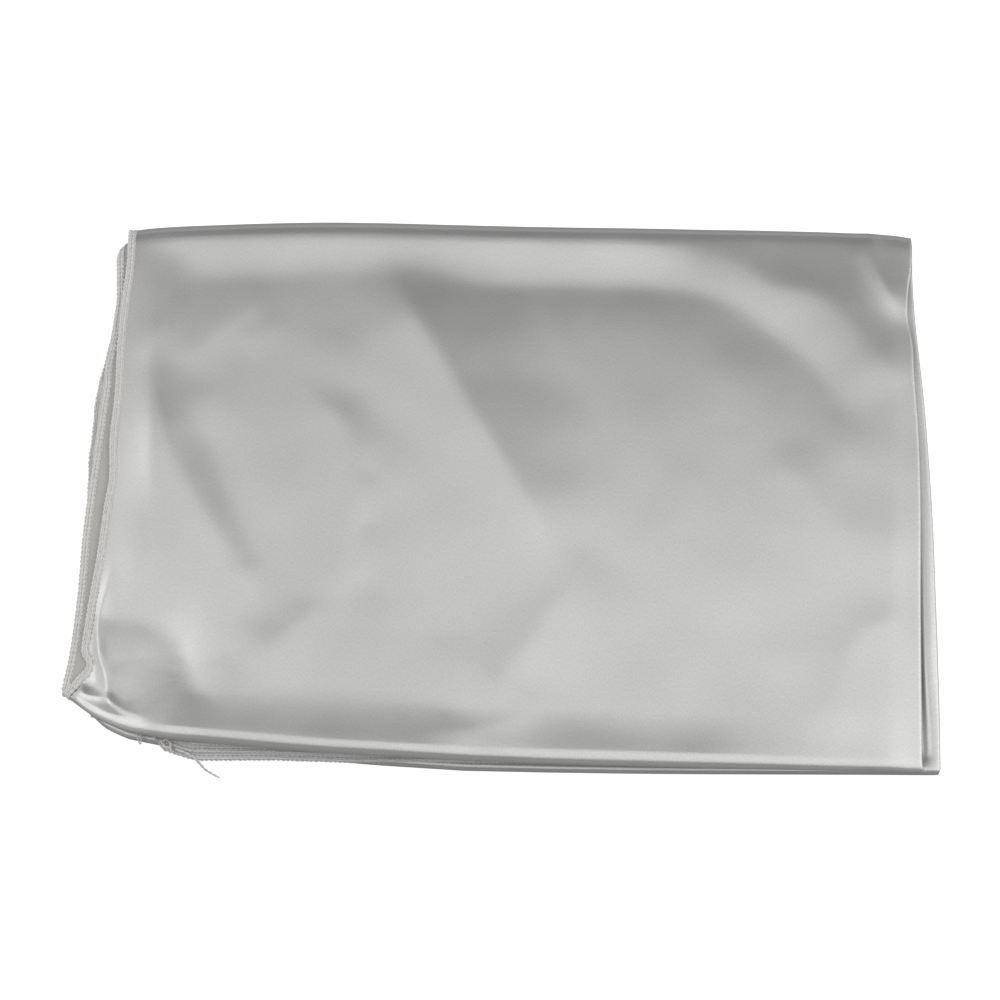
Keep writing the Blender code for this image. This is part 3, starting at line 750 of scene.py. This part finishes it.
def fold_rows(key, strip, direction, count, us):
    """Points of one layer of a fold, round from one level to the other."""
    side, low, high = key
    angles = np.linspace(-math.pi / 2, math.pi / 2, count + 1)[::direction][:, None]
    share = (0.5 + 0.5 * np.sin(angles)) ** FOLDS[key].get("rise", 1.0)

    def place_y(x, turn=None):
        turned = np.cos(angles) if turn is None else turn
        run = mix(fold_reach(key, strip, x), fold_inset(key, strip, x), turned)
        return near_line(low, x) + run if side == "near" else FAR_LINE.at(x) - run

    low_edge, high_edge = edge_line(low, strip), edge_line(high, strip)
    left_start, right_start = (np.full(angles.shape, start) for start in (SETTLE_LEFT, SETTLE_RIGHT))
    left = settle(left_start, place_y, lambda y: mix(low_edge.at(y), high_edge.at(y), share))
    right = settle(right_start, place_y, lambda y: mix(fold_side(low, y), fold_side(high, y), share))
    right = right - SIDE_FOLD_REACH
    x = mix(left, right, us[None, :])
    start_y = place_y(x, 0.0)
    z = mix(layer_height(low, strip, x, start_y), layer_height(high, strip, x, start_y), share)
    return np.stack([x, place_y(x), z], axis=-1)


def row_shares(count, level):
    """Even rows, but crowded towards the near side on the top panel, which is seen from above."""
    t = np.linspace(0.0, 1.0, count + 1)
    if level == len(LEVELS):
        t = mix(t, t * t, NEAR_CROWDING)
    return t


def strip_points(stretches, strip, us):
    """Rows of one strip of the stole through all the stretches of a piece of cloth."""
    parts = []
    for stretch in stretches:
        if stretch[0] == "panel":
            _, level, start, end, count = stretch
            rows = panel_rows(level, strip, start, end, count, us)
        else:
            side, low, high, direction, count = stretch
            rows = fold_rows((side, low, high), strip, direction, count, us)
        parts.append(rows if not parts else rows[1:])
    return np.concatenate(parts)


def column_shares(bands):
    """Shares across the packet from bands of (start, end, count)."""
    parts = [np.linspace(start, end, count, endpoint=False) for start, end, count in bands]
    return np.append(np.concatenate(parts), 1.0)


# Columns across a strip: where each band starts and ends, and how many it has.
FINE_COLUMNS = ((0.0, 0.075, 32), (0.075, 0.965, 104), (0.965, 1.0, 12))
SIDE_COLUMNS = ((0.0, 0.045, 8), (0.045, 0.94, 9), (0.94, 0.962, 2), (0.962, 1.0, 16))
HIDDEN_COLUMNS = ((0.0, 0.045, 8), (0.045, 0.94, 9), (0.94, 1.0, 6))
SIDE_FOLD_STEPS = 7


def cloth_grid(name):
    """Points of a piece of cloth: the upper strip, round the side fold, and back along the lower strip."""
    stretches = STRETCHES[name]
    us_upper = column_shares(FINE_COLUMNS if name == "top_cloth" else SIDE_COLUMNS)
    us_lower = column_shares(SIDE_COLUMNS if name == "middle_cloth" else HIDDEN_COLUMNS)
    upper = strip_points(stretches, 0, us_upper)
    lower = strip_points(stretches, 1, us_lower)[:, ::-1]
    turns = []
    for k in range(1, SIDE_FOLD_STEPS):
        angle = math.pi * (0.5 - k / SIDE_FOLD_STEPS)
        point = mix(lower[:, 0], upper[:, -1], 0.5 + 0.5 * math.sin(angle))
        point[:, 0] = mix(lower[:, 0, 0], upper[:, -1, 0], 0.5) + SIDE_FOLD_REACH * math.cos(angle)
        turns.append(point[:, None])
    grid = np.concatenate([upper, *turns, lower], axis=1)
    widths = np.concatenate([us_upper / 2, np.full(len(turns), 0.5), 1 - us_lower[::-1] / 2]) * STOLE_WIDTH
    return grid, widths


def grid_mesh(name, grid, widths):
    """A mesh of the grid's points, with a UV map in metres of cloth."""
    rows, columns = grid.shape[:2]
    index = np.arange(rows * columns).reshape(rows, columns)
    faces = np.stack([index[:-1, :-1], index[:-1, 1:], index[1:, 1:], index[1:, :-1]], axis=-1).reshape(-1, 4)
    mesh = bpy.data.meshes.new(name)
    mesh.from_pydata(grid.reshape(-1, 3).tolist(), [], faces.tolist())
    middle = grid[:, columns // 3]
    lengths = np.concatenate(([0.0], np.cumsum(np.linalg.norm(np.diff(middle, axis=0), axis=1))))
    flat = np.stack(np.broadcast_arrays(widths[None, :], lengths[:, None]), axis=-1).reshape(-1, 2)
    layer = mesh.uv_layers.new(name="Cloth")
    layer.data.foreach_set("uv", flat[faces.ravel()].astype(np.float32).ravel())
    mesh.shade_smooth()
    return mesh


def link(name, mesh, *finishes):
    made = bpy.data.objects.new(name, mesh)
    for finish in finishes:
        mesh.materials.append(finish)
    bpy.context.scene.collection.objects.link(made)
    return made


def group_tree(name, inputs, outputs):
    """A new shader node group with its sockets, and its two end nodes."""
    tree = bpy.data.node_groups.new(name, "ShaderNodeTree")
    for label, kind, default in inputs:
        tree.interface.new_socket(label, in_out="INPUT", socket_type=kind).default_value = default
    for label, kind in outputs:
        tree.interface.new_socket(label, in_out="OUTPUT", socket_type=kind)
    return tree, tree.nodes.new("NodeGroupInput"), tree.nodes.new("NodeGroupOutput")


def feed(tree, node, inputs):
    """Feeds a node's inputs with sockets or plain values."""
    for key, value in inputs.items():
        if isinstance(value, bpy.types.NodeSocket):
            tree.links.new(value, node.inputs[key])
        else:
            node.inputs[key].default_value = value
    return node


def add_node(tree, kind, inputs=None, **settings):
    node = tree.nodes.new(kind)
    for key, value in settings.items():
        setattr(node, key, value)
    return feed(tree, node, inputs or {})


def math_node(tree, operation, *values):
    """A Math node fed by sockets or plain numbers. Gives back its output."""
    return add_node(tree, "ShaderNodeMath", dict(enumerate(values)), operation=operation).outputs[0]


def noise_node(tree, place, scale, detail):
    inputs = {"Scale": scale, "Detail": detail, "Vector": place}
    return add_node(tree, "ShaderNodeTexNoise", inputs).outputs["Fac"]


def weave_group():
    """Satin weave: long floats across fine yarns, uneven from yarn to yarn."""
    if "Satin weave" in bpy.data.node_groups:
        return bpy.data.node_groups["Satin weave"]
    tree, start, end = group_tree(
        "Satin weave",
        (
            ("Vector", "NodeSocketVector", (0, 0, 0)),
            ("Yarns per metre", "NodeSocketFloat", YARNS_PER_METRE),
            ("Unevenness", "NodeSocketFloat", WEAVE_UNEVENNESS),
        ),
        (("Height", "NodeSocketFloat"), ("Streaks", "NodeSocketFloat"), ("Clouds", "NodeSocketFloat")),
    )
    place = start.outputs["Vector"]
    split = add_node(tree, "ShaderNodeSeparateXYZ", {0: place})
    turns = math_node(tree, "MULTIPLY", start.outputs["Yarns per metre"], 2 * math.pi)
    warp, weft = (
        math_node(tree, "SINE", math_node(tree, "MULTIPLY", split.outputs[k], turns)) for k in (0, 1)
    )
    fine = math_node(tree, "ADD", warp, math_node(tree, "MULTIPLY", weft, WEFT_SHARE))
    stretched = add_node(tree, "ShaderNodeMapping", {"Scale": STREAK_STRETCH, "Vector": place})
    streaks = noise_node(tree, stretched.outputs[0], STREAK_SCALE, STREAK_DETAIL)
    clouds = noise_node(tree, place, CLOUD_SCALE, CLOUD_DETAIL)
    uneven = math_node(tree, "MULTIPLY", streaks, start.outputs["Unevenness"])
    height = math_node(tree, "ADD", math_node(tree, "MULTIPLY", fine, YARN_SHARE), uneven)
    feed(tree, end, {"Height": height, "Streaks": streaks, "Clouds": clouds})
    return tree


def colour_range(tree, factor, dark, light):
    """Mixes two colours by a factor that changes over the surface."""
    inputs = {"Factor": factor, "A": (*dark, 1.0), "B": (*light, 1.0)}
    node = tree.nodes.new("ShaderNodeMix")
    node.data_type = "RGBA"
    return feed(tree, node, inputs).outputs["Result"]


def shade(colour, amount):
    return tuple(channel * amount for channel in colour)


def tones(tree, factor, colour, amounts):
    """A colour that runs from its darkest to its lightest tone."""
    return colour_range(tree, factor, *(shade(colour, amount) for amount in amounts))


def bumped(tree, height, strength, depth):
    inputs = {"Strength": strength, "Distance": depth, "Height": height}
    return add_node(tree, "ShaderNodeBump", inputs).outputs[0]


def new_material(name):
    """A new material, its node tree and its shader."""
    made = bpy.data.materials.new(name)
    made.use_nodes = True
    return made, made.node_tree, made.node_tree.nodes["Principled BSDF"]


def cloth_material(name, colour, roughness, metallic, sheen, bump):
    """Woven satin, its colour and roughness uneven over the cloth."""
    if name in bpy.data.materials:
        return bpy.data.materials[name]
    made, tree, shader = new_material(name)
    place = add_node(tree, "ShaderNodeUVMap", uv_map="Cloth").outputs[0]
    weave = add_node(tree, "ShaderNodeGroup", node_tree=weave_group())
    feed(tree, weave, {"Vector": place})
    streaks = math_node(tree, "MULTIPLY", weave.outputs["Streaks"], STREAK_SHARE)
    clouds = math_node(tree, "MULTIPLY", weave.outputs["Clouds"], CLOUD_SHARE)
    least = roughness - ROUGHNESS_RANGE / 2
    feed(tree, shader, {
        "Base Color": tones(tree, math_node(tree, "ADD", streaks, clouds), colour, CLOTH_TONES),
        "Roughness": math_node(tree, "MULTIPLY_ADD", weave.outputs["Clouds"], ROUGHNESS_RANGE, least),
        "Metallic": metallic,
        "Sheen Weight": sheen,
        "Sheen Roughness": SHEEN_ROUGHNESS,
        "Normal": bumped(tree, weave.outputs["Height"], bump, WEAVE_DEPTH),
    })
    return made


def thread_material(name, colour, roughness):
    """Matte spun thread, its colour uneven along the stitches."""
    if name in bpy.data.materials:
        return bpy.data.materials[name]
    made, tree, shader = new_material(name)
    place = add_node(tree, "ShaderNodeTexCoord").outputs["Object"]
    fibres = noise_node(tree, place, FIBRE_SCALE, FIBRE_DETAIL)
    feed(tree, shader, {
        "Base Color": tones(tree, fibres, colour, THREAD_TONES),
        "Roughness": roughness,
        "Sheen Weight": THREAD_SHEEN,
        "Normal": bumped(tree, fibres, FIBRE_BUMP, FIBRE_DEPTH),
    })
    return made


def satin_face():
    cloth = bpy.context.scene.stole_cloth
    face = tuple(cloth.satin_colour)
    return cloth_material("Satin face", face, roughness=0.31, metallic=0.66, sheen=0.0, bump=0.15)


def satin_back():
    cloth = bpy.context.scene.stole_cloth
    back = tuple(cloth.back_colour)
    return cloth_material("Satin back", back, roughness=0.80, metallic=0.0, sheen=0.05, bump=0.6)


def overlock_thread():
    spun = tuple(bpy.context.scene.stole_stitches.thread_colour)
    return thread_material("Overlock thread", spun, roughness=0.75)


def add_cloth(name, *nodes):
    """One piece of the stole's cloth, as a thin shell with its dull back inside."""
    grid, widths = cloth_grid(name)
    made = link(name, grid_mesh(name, grid, widths), satin_face(), satin_back())
    wall = made.modifiers.new("Cloth wall", "SOLIDIFY")
    wall.thickness = bpy.context.scene.stole_cloth.thickness
    wall.offset = -1.0
    wall.material_offset = 1
    wall.material_offset_rim = 1
    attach(made, "root")
    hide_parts(*nodes)


class STOLE_OT_top_cloth(bpy.types.Operator):
    """Makes the top panel with the far fold and the upper near fold"""

    bl_idname = "stole.top_cloth"
    bl_label = "Top cloth"

    def execute(self, context):
        add_cloth("top_cloth", "top_panel", "far_fold", "upper_near_fold")
        return {"FINISHED"}


class STOLE_OT_under_cloth(bpy.types.Operator):
    """Makes the underside panel with the lowest near fold"""

    bl_idname = "stole.under_cloth"
    bl_label = "Under cloth"

    def execute(self, context):
        add_cloth("under_cloth", "underside_panel", "lower_near_fold")
        return {"FINISHED"}


class STOLE_OT_inner_cloths(bpy.types.Operator):
    """Makes the folded layers between the top and the underside, with the two short ends"""

    bl_idname = "stole.inner_cloths"
    bl_label = "Inner cloths"

    def execute(self, context):
        add_cloth("middle_cloth", "inner_layers", "upper_inner_fold", "short_end_lower")
        add_cloth("end_cloth", "short_end_upper")
        return {"FINISHED"}


def edge_frames(points, inner, hand):
    """At each point of an edge, the direction into the cloth and the direction out of its face."""
    tangent = np.gradient(points, axis=0)
    up = np.cross(tangent, inner - points) * hand
    side = np.cross(up, tangent) * hand
    return side / np.linalg.norm(side, axis=1)[:, None], up / np.linalg.norm(up, axis=1)[:, None]


def path_mesh(name, paths):
    """A mesh of edges along each path, with its two directions kept as attributes."""
    points, sides, ups, edges = [], [], [], []
    for path, side, up in paths:
        first = len(points)
        points.extend(path.tolist())
        sides.extend(side.tolist())
        ups.extend(up.tolist())
        edges.extend((first + k, first + k + 1) for k in range(len(path) - 1))
    mesh = bpy.data.meshes.new(name)
    mesh.from_pydata(points, edges, [])
    for label, values in (("side", sides), ("up", ups)):
        attribute = mesh.attributes.new(label, "FLOAT_VECTOR", "POINT")
        attribute.data.foreach_set("vector", np.array(values, np.float32).ravel())
    return mesh


class StitchTree:
    """Builds the geometry nodes that sew an overlock stitch along an edge."""

    def __init__(self):
        self.tree = bpy.data.node_groups.new("Overlock stitch", "GeometryNodeTree")
        self.sockets = {}
        for label, kind in (
            ("Geometry", "NodeSocketGeometry"),
            ("Pitch", "NodeSocketFloat"),
            ("Width", "NodeSocketFloat"),
            ("Height", "NodeSocketFloat"),
            ("Thread radius", "NodeSocketFloat"),
            ("Steps in a stitch", "NodeSocketInt"),
            ("Sides of the thread", "NodeSocketInt"),
            ("Material", "NodeSocketMaterial"),
        ):
            self.sockets[label] = self.tree.interface.new_socket(label, in_out="INPUT", socket_type=kind)
        self.tree.interface.new_socket("Geometry", in_out="OUTPUT", socket_type="NodeSocketGeometry")
        self.start = self.tree.nodes.new("NodeGroupInput")
        self.build()

    def node(self, kind, inputs=None, **settings):
        return add_node(self.tree, kind, inputs, **settings)

    def math(self, operation, *values):
        return math_node(self.tree, operation, *values)

    def scaled(self, vector, factor):
        node = self.node("ShaderNodeVectorMath", {"Vector": vector, "Scale": factor}, operation="SCALE")
        return node.outputs["Vector"]

    def direction(self, name):
        found = self.node("GeometryNodeInputNamedAttribute", {"Name": name}, data_type="FLOAT_VECTOR")
        inputs = {0: found.outputs["Attribute"]}
        return self.node("ShaderNodeVectorMath", inputs, operation="NORMALIZE").outputs[0]

    def thread(self, curve, side_offset, up_offset, thickness):
        """A thread laid along the edge at an offset into the cloth and out of its face."""
        across_it = self.scaled(self.direction("side"), side_offset)
        out_of_it = self.scaled(self.direction("up"), up_offset)
        offset = self.node("ShaderNodeVectorMath", {0: across_it, 1: out_of_it}, operation="ADD")
        moved = self.node("GeometryNodeSetPosition", {"Geometry": curve, "Offset": offset.outputs[0]})
        radius = self.math("MULTIPLY", self.start.outputs["Thread radius"], thickness)
        ring = self.node(
            "GeometryNodeCurvePrimitiveCircle",
            {"Resolution": self.start.outputs["Sides of the thread"], "Radius": radius},
        )
        return self.node(
            "GeometryNodeCurveToMesh", {"Curve": moved.outputs[0], "Profile Curve": ring.outputs[0]}
        ).outputs[0]

    def build(self):
        """Two cords of two strands that twist against each other, a line at the edge and the needle line."""
        start = self.start
        step = self.math("DIVIDE", start.outputs["Pitch"], start.outputs["Steps in a stitch"])
        curve = self.node("GeometryNodeMeshToCurve", {"Mesh": start.outputs["Geometry"]}).outputs[0]
        curve = self.node("GeometryNodeResampleCurve", {"Curve": curve, "Length": step}, mode="LENGTH")
        curve = curve.outputs[0]
        length = self.node("GeometryNodeSplineParameter").outputs["Length"]
        inputs = {"W": length, "Scale": WANDER_SCALE, "Detail": 1.0}
        wander = self.node("ShaderNodeTexNoise", inputs, noise_dimensions="1D").outputs["Fac"]
        phase = self.math("MULTIPLY", self.math("DIVIDE", length, start.outputs["Pitch"]), math.pi)
        phase = self.math("ADD", phase, self.math("MULTIPLY", wander, WANDER_TURN))
        width, radius = start.outputs["Width"], start.outputs["Thread radius"]
        uneven = self.math("MULTIPLY_ADD", wander, WANDER_HEIGHT, LEAST_HEIGHT)
        reach_up = self.math("SUBTRACT", self.math("MULTIPLY", start.outputs["Height"], 0.5), radius)
        reach_up = self.math("MULTIPLY", reach_up, uneven)
        inset = self.math("MULTIPLY", radius, CORD_INSET)
        reach_side = self.math("SUBTRACT", self.math("MULTIPLY", width, CORD_REACH), inset)
        threads = []
        for middle, hand in CORDS:
            for offset in (0.0, math.pi):
                turn = self.math("MULTIPLY_ADD", phase, hand, offset)
                side = self.math("MULTIPLY", self.math("COSINE", turn), reach_side)
                side = self.math("ADD", side, self.math("MULTIPLY", width, middle))
                rise = self.math("MULTIPLY", self.math("SINE", turn), reach_up)
                threads.append(self.thread(curve, side, rise, 1.0))
        quick = self.math("MULTIPLY", phase, 2.0)
        reach = self.math("MULTIPLY", radius, EDGE_THREAD_REACH)
        edge_side = self.math("MULTIPLY", self.math("COSINE", quick), reach)
        rise = self.math("MULTIPLY", radius, EDGE_THREAD_RISE)
        edge_rise = self.math("MULTIPLY_ADD", self.math("SINE", quick), rise, radius)
        threads.append(self.thread(curve, edge_side, edge_rise, EDGE_THREAD_SIZE))
        needle_side = self.math("MULTIPLY", width, NEEDLE_PLACE)
        dip = self.math("MULTIPLY", self.math("ABSOLUTE", self.math("SINE", phase)), NEEDLE_DIP)
        needle_rise = self.math("MULTIPLY", self.math("SUBTRACT", dip, 1.0), radius)
        threads.append(self.thread(curve, needle_side, needle_rise, NEEDLE_SIZE))
        joined = self.node("GeometryNodeJoinGeometry")
        for thread in threads:
            self.tree.links.new(thread, joined.inputs[0])
        smooth = self.node("GeometryNodeSetShadeSmooth", {"Geometry": joined.outputs[0]})
        real = self.node("GeometryNodeRealizeInstances", {"Geometry": smooth.outputs[0]})
        finish = self.node(
            "GeometryNodeSetMaterial", {"Geometry": real.outputs[0], "Material": start.outputs["Material"]}
        )
        end = self.tree.nodes.new("NodeGroupOutput")
        self.tree.links.new(finish.outputs[0], end.inputs[0])


def sew(name, paths, tree, stitch, *nodes):
    """Sews the overlock along the paths, as one plain mesh."""
    stitches = bpy.context.scene.stole_stitches
    steps, sides = stitch
    path = link(name + "_path", path_mesh(name + "_path", paths))
    modifier = path.modifiers.new("Overlock", "NODES")
    modifier.node_group = tree.tree
    values = {
        "Pitch": stitches.pitch,
        "Width": stitches.width,
        "Height": stitches.height,
        "Thread radius": stitches.thread_radius,
        "Steps in a stitch": steps,
        "Sides of the thread": sides,
        "Material": overlock_thread(),
    }
    for label, value in values.items():
        modifier[tree.sockets[label].identifier] = value
    depsgraph = bpy.context.evaluated_depsgraph_get()
    mesh = bpy.data.meshes.new_from_object(path.evaluated_get(depsgraph))
    mesh.name = name
    bpy.data.objects.remove(path, do_unlink=True)
    made = link(name, mesh)
    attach(made, "root")
    if nodes:
        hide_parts(*nodes)


def edge_run(points, inner, hand):
    """The middle of an overlocked edge, half the cloth's thickness inside its face and clear of the floor."""
    scene = bpy.context.scene
    side, up = edge_frames(points, inner, hand)
    middle = points - up * scene.stole_cloth.thickness / 2
    middle[:, 2] = np.maximum(middle[:, 2], scene.stole_stitches.height * EDGE_CLEARANCE)
    return middle, side, up


def long_edge_paths(name):
    """The paths of both strips' overlocked long edges through a piece of cloth."""
    paths = []
    for strip, hand in ((0, -1.0), (1, 1.0)):
        points = strip_points(STRETCHES[name], strip, np.array([0.0, EDGE_MARGIN]))
        paths.append(edge_run(points[:, 0], points[:, 1], hand))
    return paths


def short_end_path(name, row, inner_row, hand):
    """The path of an overlocked short end, across the upper strip, round the side fold and back."""
    grid, _ = cloth_grid(name)
    return edge_run(grid[row], grid[inner_row], hand)


def tube(points, radii, sides):
    """Corners and faces of a thread along smooth points, closed at both ends."""
    tangent = np.gradient(points, axis=0)
    tangent /= np.linalg.norm(tangent, axis=1)[:, None]
    across_it = np.cross(tangent, THREAD_REFERENCE)
    across_it /= np.linalg.norm(across_it, axis=1)[:, None]
    over_it = np.cross(across_it, tangent)
    angles = np.linspace(0, 2 * math.pi, sides, endpoint=False)
    rings = points[:, None] + radii[:, None, None] * (
        np.cos(angles)[None, :, None] * across_it[:, None] + np.sin(angles)[None, :, None] * over_it[:, None]
    )
    index = np.arange(rings.shape[0] * sides).reshape(-1, sides)
    turned = np.roll(index, -1, axis=1)
    faces = np.stack([index[:-1], index[1:], turned[1:], turned[:-1]], axis=-1).reshape(-1, 4).tolist()
    faces.append(index[0].tolist())
    faces.append(index[-1][::-1].tolist())
    return rings.reshape(-1, 3), faces


class STOLE_OT_overlock(bpy.types.Operator):
    """Sews the overlock stitches round the stole's raw edges"""

    bl_idname = "stole.overlock"
    bl_label = "Overlock stitches"

    def execute(self, context):
        tree = StitchTree()
        sew("overlock_top", long_edge_paths("top_cloth"), tree, SEEN_STITCH, "hem_long_edge")
        sew("overlock_middle", long_edge_paths("middle_cloth"), tree, HIDDEN_STITCH)
        under_paths = long_edge_paths("under_cloth") + long_edge_paths("end_cloth")
        sew("overlock_under", under_paths, tree, HIDDEN_STITCH)
        upper_end = short_end_path("end_cloth", 0, 1, 1.0)
        sew("overlock_short_end_upper", [upper_end], tree, END_STITCH, "hem_short_end_upper")
        lower_end = short_end_path("middle_cloth", -1, -2, -1.0)
        sew("overlock_short_end_lower", [lower_end], tree, END_STITCH, "hem_short_end_lower")
        return {"FINISHED"}


class STOLE_OT_thread_ends(bpy.types.Operator):
    """Lays the loose thread ends and the knot at the near left corner"""

    bl_idname = "stole.thread_ends"
    bl_label = "Thread ends"

    def execute(self, context):
        corners, faces = [], []
        for end in THREAD_ENDS:
            middle = smooth_path(end.points, THREAD_STEPS)
            turns = np.linspace(0, end.twists * 2 * math.pi, len(middle))
            reach = end.radius * STRAND_REACH if end.twists else 0.0
            radii = end.radius * np.linspace(1.0, end.taper, len(middle))
            for offset in (0.0, math.pi) if end.twists else (0.0,):
                swing, lift = np.cos(turns + offset), np.sin(turns + offset)
                strand = middle + reach * np.stack([swing, STRAND_FLATNESS * swing, lift], axis=1)
                strand[:, 2] = np.maximum(strand[:, 2], radii)
                rings, sides = tube(strand, radii, THREAD_SIDES)
                faces.extend([corner + len(corners) for corner in face] for face in sides)
                corners.extend(rings.tolist())
        mesh = bpy.data.meshes.new("thread_ends")
        mesh.from_pydata(corners, [], faces)
        mesh.shade_smooth()
        made = link("thread_ends", mesh, overlock_thread())
        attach(made, "root")
        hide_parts("thread_tail")
        return {"FINISHED"}


def floor_material(shown, glow, bounced):
    """Pale floor that shows only a faint shadow, and throws less light back at the cloth than it shows."""
    made, tree, shader = new_material("Pale floor")
    seen = add_node(tree, "ShaderNodeLightPath").outputs["Is Camera Ray"]
    feed(tree, shader, {
        "Base Color": colour_range(tree, seen, bounced, shown),
        "Emission Color": colour_range(tree, seen, (0.0, 0.0, 0.0), glow),
        "Roughness": 0.9,
        "Specular IOR Level": 0.2,
        "Emission Strength": 1.0,
    })
    return made


# Soft boxes: place, size across and along, brightness, and whether it hangs level or faces the packet.
SoftBox = namedtuple("SoftBox", "name at size brightness level")
LIGHTS = (
    SoftBox("Overhead far left", (-1.10, -0.12, 1.50), (0.96, 1.86), 1.50, True),
    SoftBox("Overhead left", (-0.36, -0.12, 1.50), (0.52, 1.86), 1.05, True),
    SoftBox("Overhead right", (0.80, -0.215, 1.50), (1.8, 1.67), 1.50, True),
    SoftBox("Left side", (-1.30, 0.15, 0.80), (1.3, 1.5), 1.1, False),
    SoftBox("Right side", (1.30, 0.10, 0.80), (1.3, 1.5), 1.35, False),
    SoftBox("Low back left", (-1.55, 1.45, 0.75), (1.4, 1.45), 0.55, False),
    SoftBox("Low back right", (1.55, 1.45, 0.75), (1.4, 1.45), 0.55, False),
    SoftBox("Low back", (0.00, 2.20, 0.28), (2.2, 0.5), 0.55, False),
    SoftBox("Low front left", (-1.55, -1.45, 0.75), (1.4, 1.45), 0.55, False),
    SoftBox("Low front right", (1.55, -1.45, 0.75), (1.4, 1.45), 0.55, False),
    SoftBox("Low front", (0.00, -2.20, 0.75), (2.0, 1.4), 0.25, False),
)
POWER_FOR_BRIGHTNESS = math.pi


class STOLE_OT_stage(bpy.types.Operator):
    """Sets the pale floor, the soft studio light and the camera"""

    bl_idname = "stole.stage"
    bl_label = "Stage"

    def execute(self, context):
        stage = context.scene.stole_stage
        half = stage.floor_size / 2
        mesh = bpy.data.meshes.new("Floor")
        corners = [(-half, -half, 0), (half, -half, 0), (half, half, 0), (-half, half, 0)]
        mesh.from_pydata(corners, [], [(0, 1, 2, 3)])
        colours = (stage.floor_colour, stage.floor_glow, stage.floor_bounce)
        floor = link("Floor", mesh, floor_material(*map(tuple, colours)))

        target = Vector(stage.target)
        for row in LIGHTS:
            data = bpy.data.lights.new(row.name, "AREA")
            data.shape = "RECTANGLE"
            data.size, data.size_y = row.size
            data.energy = POWER_FOR_BRIGHTNESS * row.brightness * data.size * data.size_y
            lamp = bpy.data.objects.new(row.name, data)
            lamp.location = row.at
            if not row.level:
                lamp.rotation_euler = (target - Vector(row.at)).to_track_quat("-Z", "Y").to_euler()
            lamp.visible_camera = False
            context.scene.collection.objects.link(lamp)

        world = bpy.data.worlds.new("Surround")
        world.use_nodes = True
        tree = world.node_tree
        surround = tree.nodes["Background"]
        surround.inputs["Color"].default_value = (1.0, 1.0, 1.0, 1.0)
        seen = tree.nodes.new("ShaderNodeLightPath").outputs["Is Camera Ray"]
        shown = math_node(tree, "MULTIPLY_ADD", seen, stage.backdrop - stage.sky_strength, stage.sky_strength)
        tree.links.new(shown, surround.inputs["Strength"])
        context.scene.world = world
        context.scene.view_settings.view_transform = "Standard"

        back = Vector((0.0, -math.cos(stage.elevation), math.sin(stage.elevation)))
        data = bpy.data.cameras.new("Camera")
        data.lens = stage.lens
        data.sensor_width = 36.0
        camera = bpy.data.objects.new("Camera", data)
        camera.location = target + back * stage.distance
        camera.rotation_euler = (-back).to_track_quat("-Z", "Y").to_euler()
        context.scene.collection.objects.link(camera)
        context.scene.camera = camera
        return {"FINISHED"}


class STOLE_PT_panel(bpy.types.Panel):
    """Sizes, colours and steps of the evening stole"""

    bl_idname = "STOLE_PT_panel"
    bl_label = "Evening stole"
    bl_space_type = "VIEW_3D"
    bl_region_type = "UI"
    bl_category = "Stole"

    def draw(self, context):
        for settings in (context.scene.stole_cloth, context.scene.stole_stitches, context.scene.stole_stage):
            box = self.layout.box()
            for name in settings.bl_rna.properties.keys():
                if name not in ("rna_type", "name"):
                    box.prop(settings, name)
        for operator in OPERATORS:
            self.layout.operator(operator.bl_idname)


OPERATORS = (
    STOLE_OT_top_cloth,
    STOLE_OT_under_cloth,
    STOLE_OT_inner_cloths,
    STOLE_OT_overlock,
    STOLE_OT_thread_ends,
    STOLE_OT_stage,
)
CLASSES = (StoleCloth, StoleStitches, StoleStage, *OPERATORS, STOLE_PT_panel)
SETTINGS = {"stole_cloth": StoleCloth, "stole_stitches": StoleStitches, "stole_stage": StoleStage}


def register():
    for item in CLASSES:
        bpy.utils.register_class(item)
    for name, kind in SETTINGS.items():
        setattr(bpy.types.Scene, name, PointerProperty(type=kind))


def unregister():
    for name in SETTINGS:
        delattr(bpy.types.Scene, name)
    for item in reversed(CLASSES):
        bpy.utils.unregister_class(item)


def main():
    register()
    bpy.ops.stole.top_cloth()
    bpy.ops.stole.under_cloth()
    bpy.ops.stole.inner_cloths()
    bpy.ops.stole.overlock()
    bpy.ops.stole.thread_ends()
    bpy.ops.stole.stage()


if __name__ == "__main__":
    main()
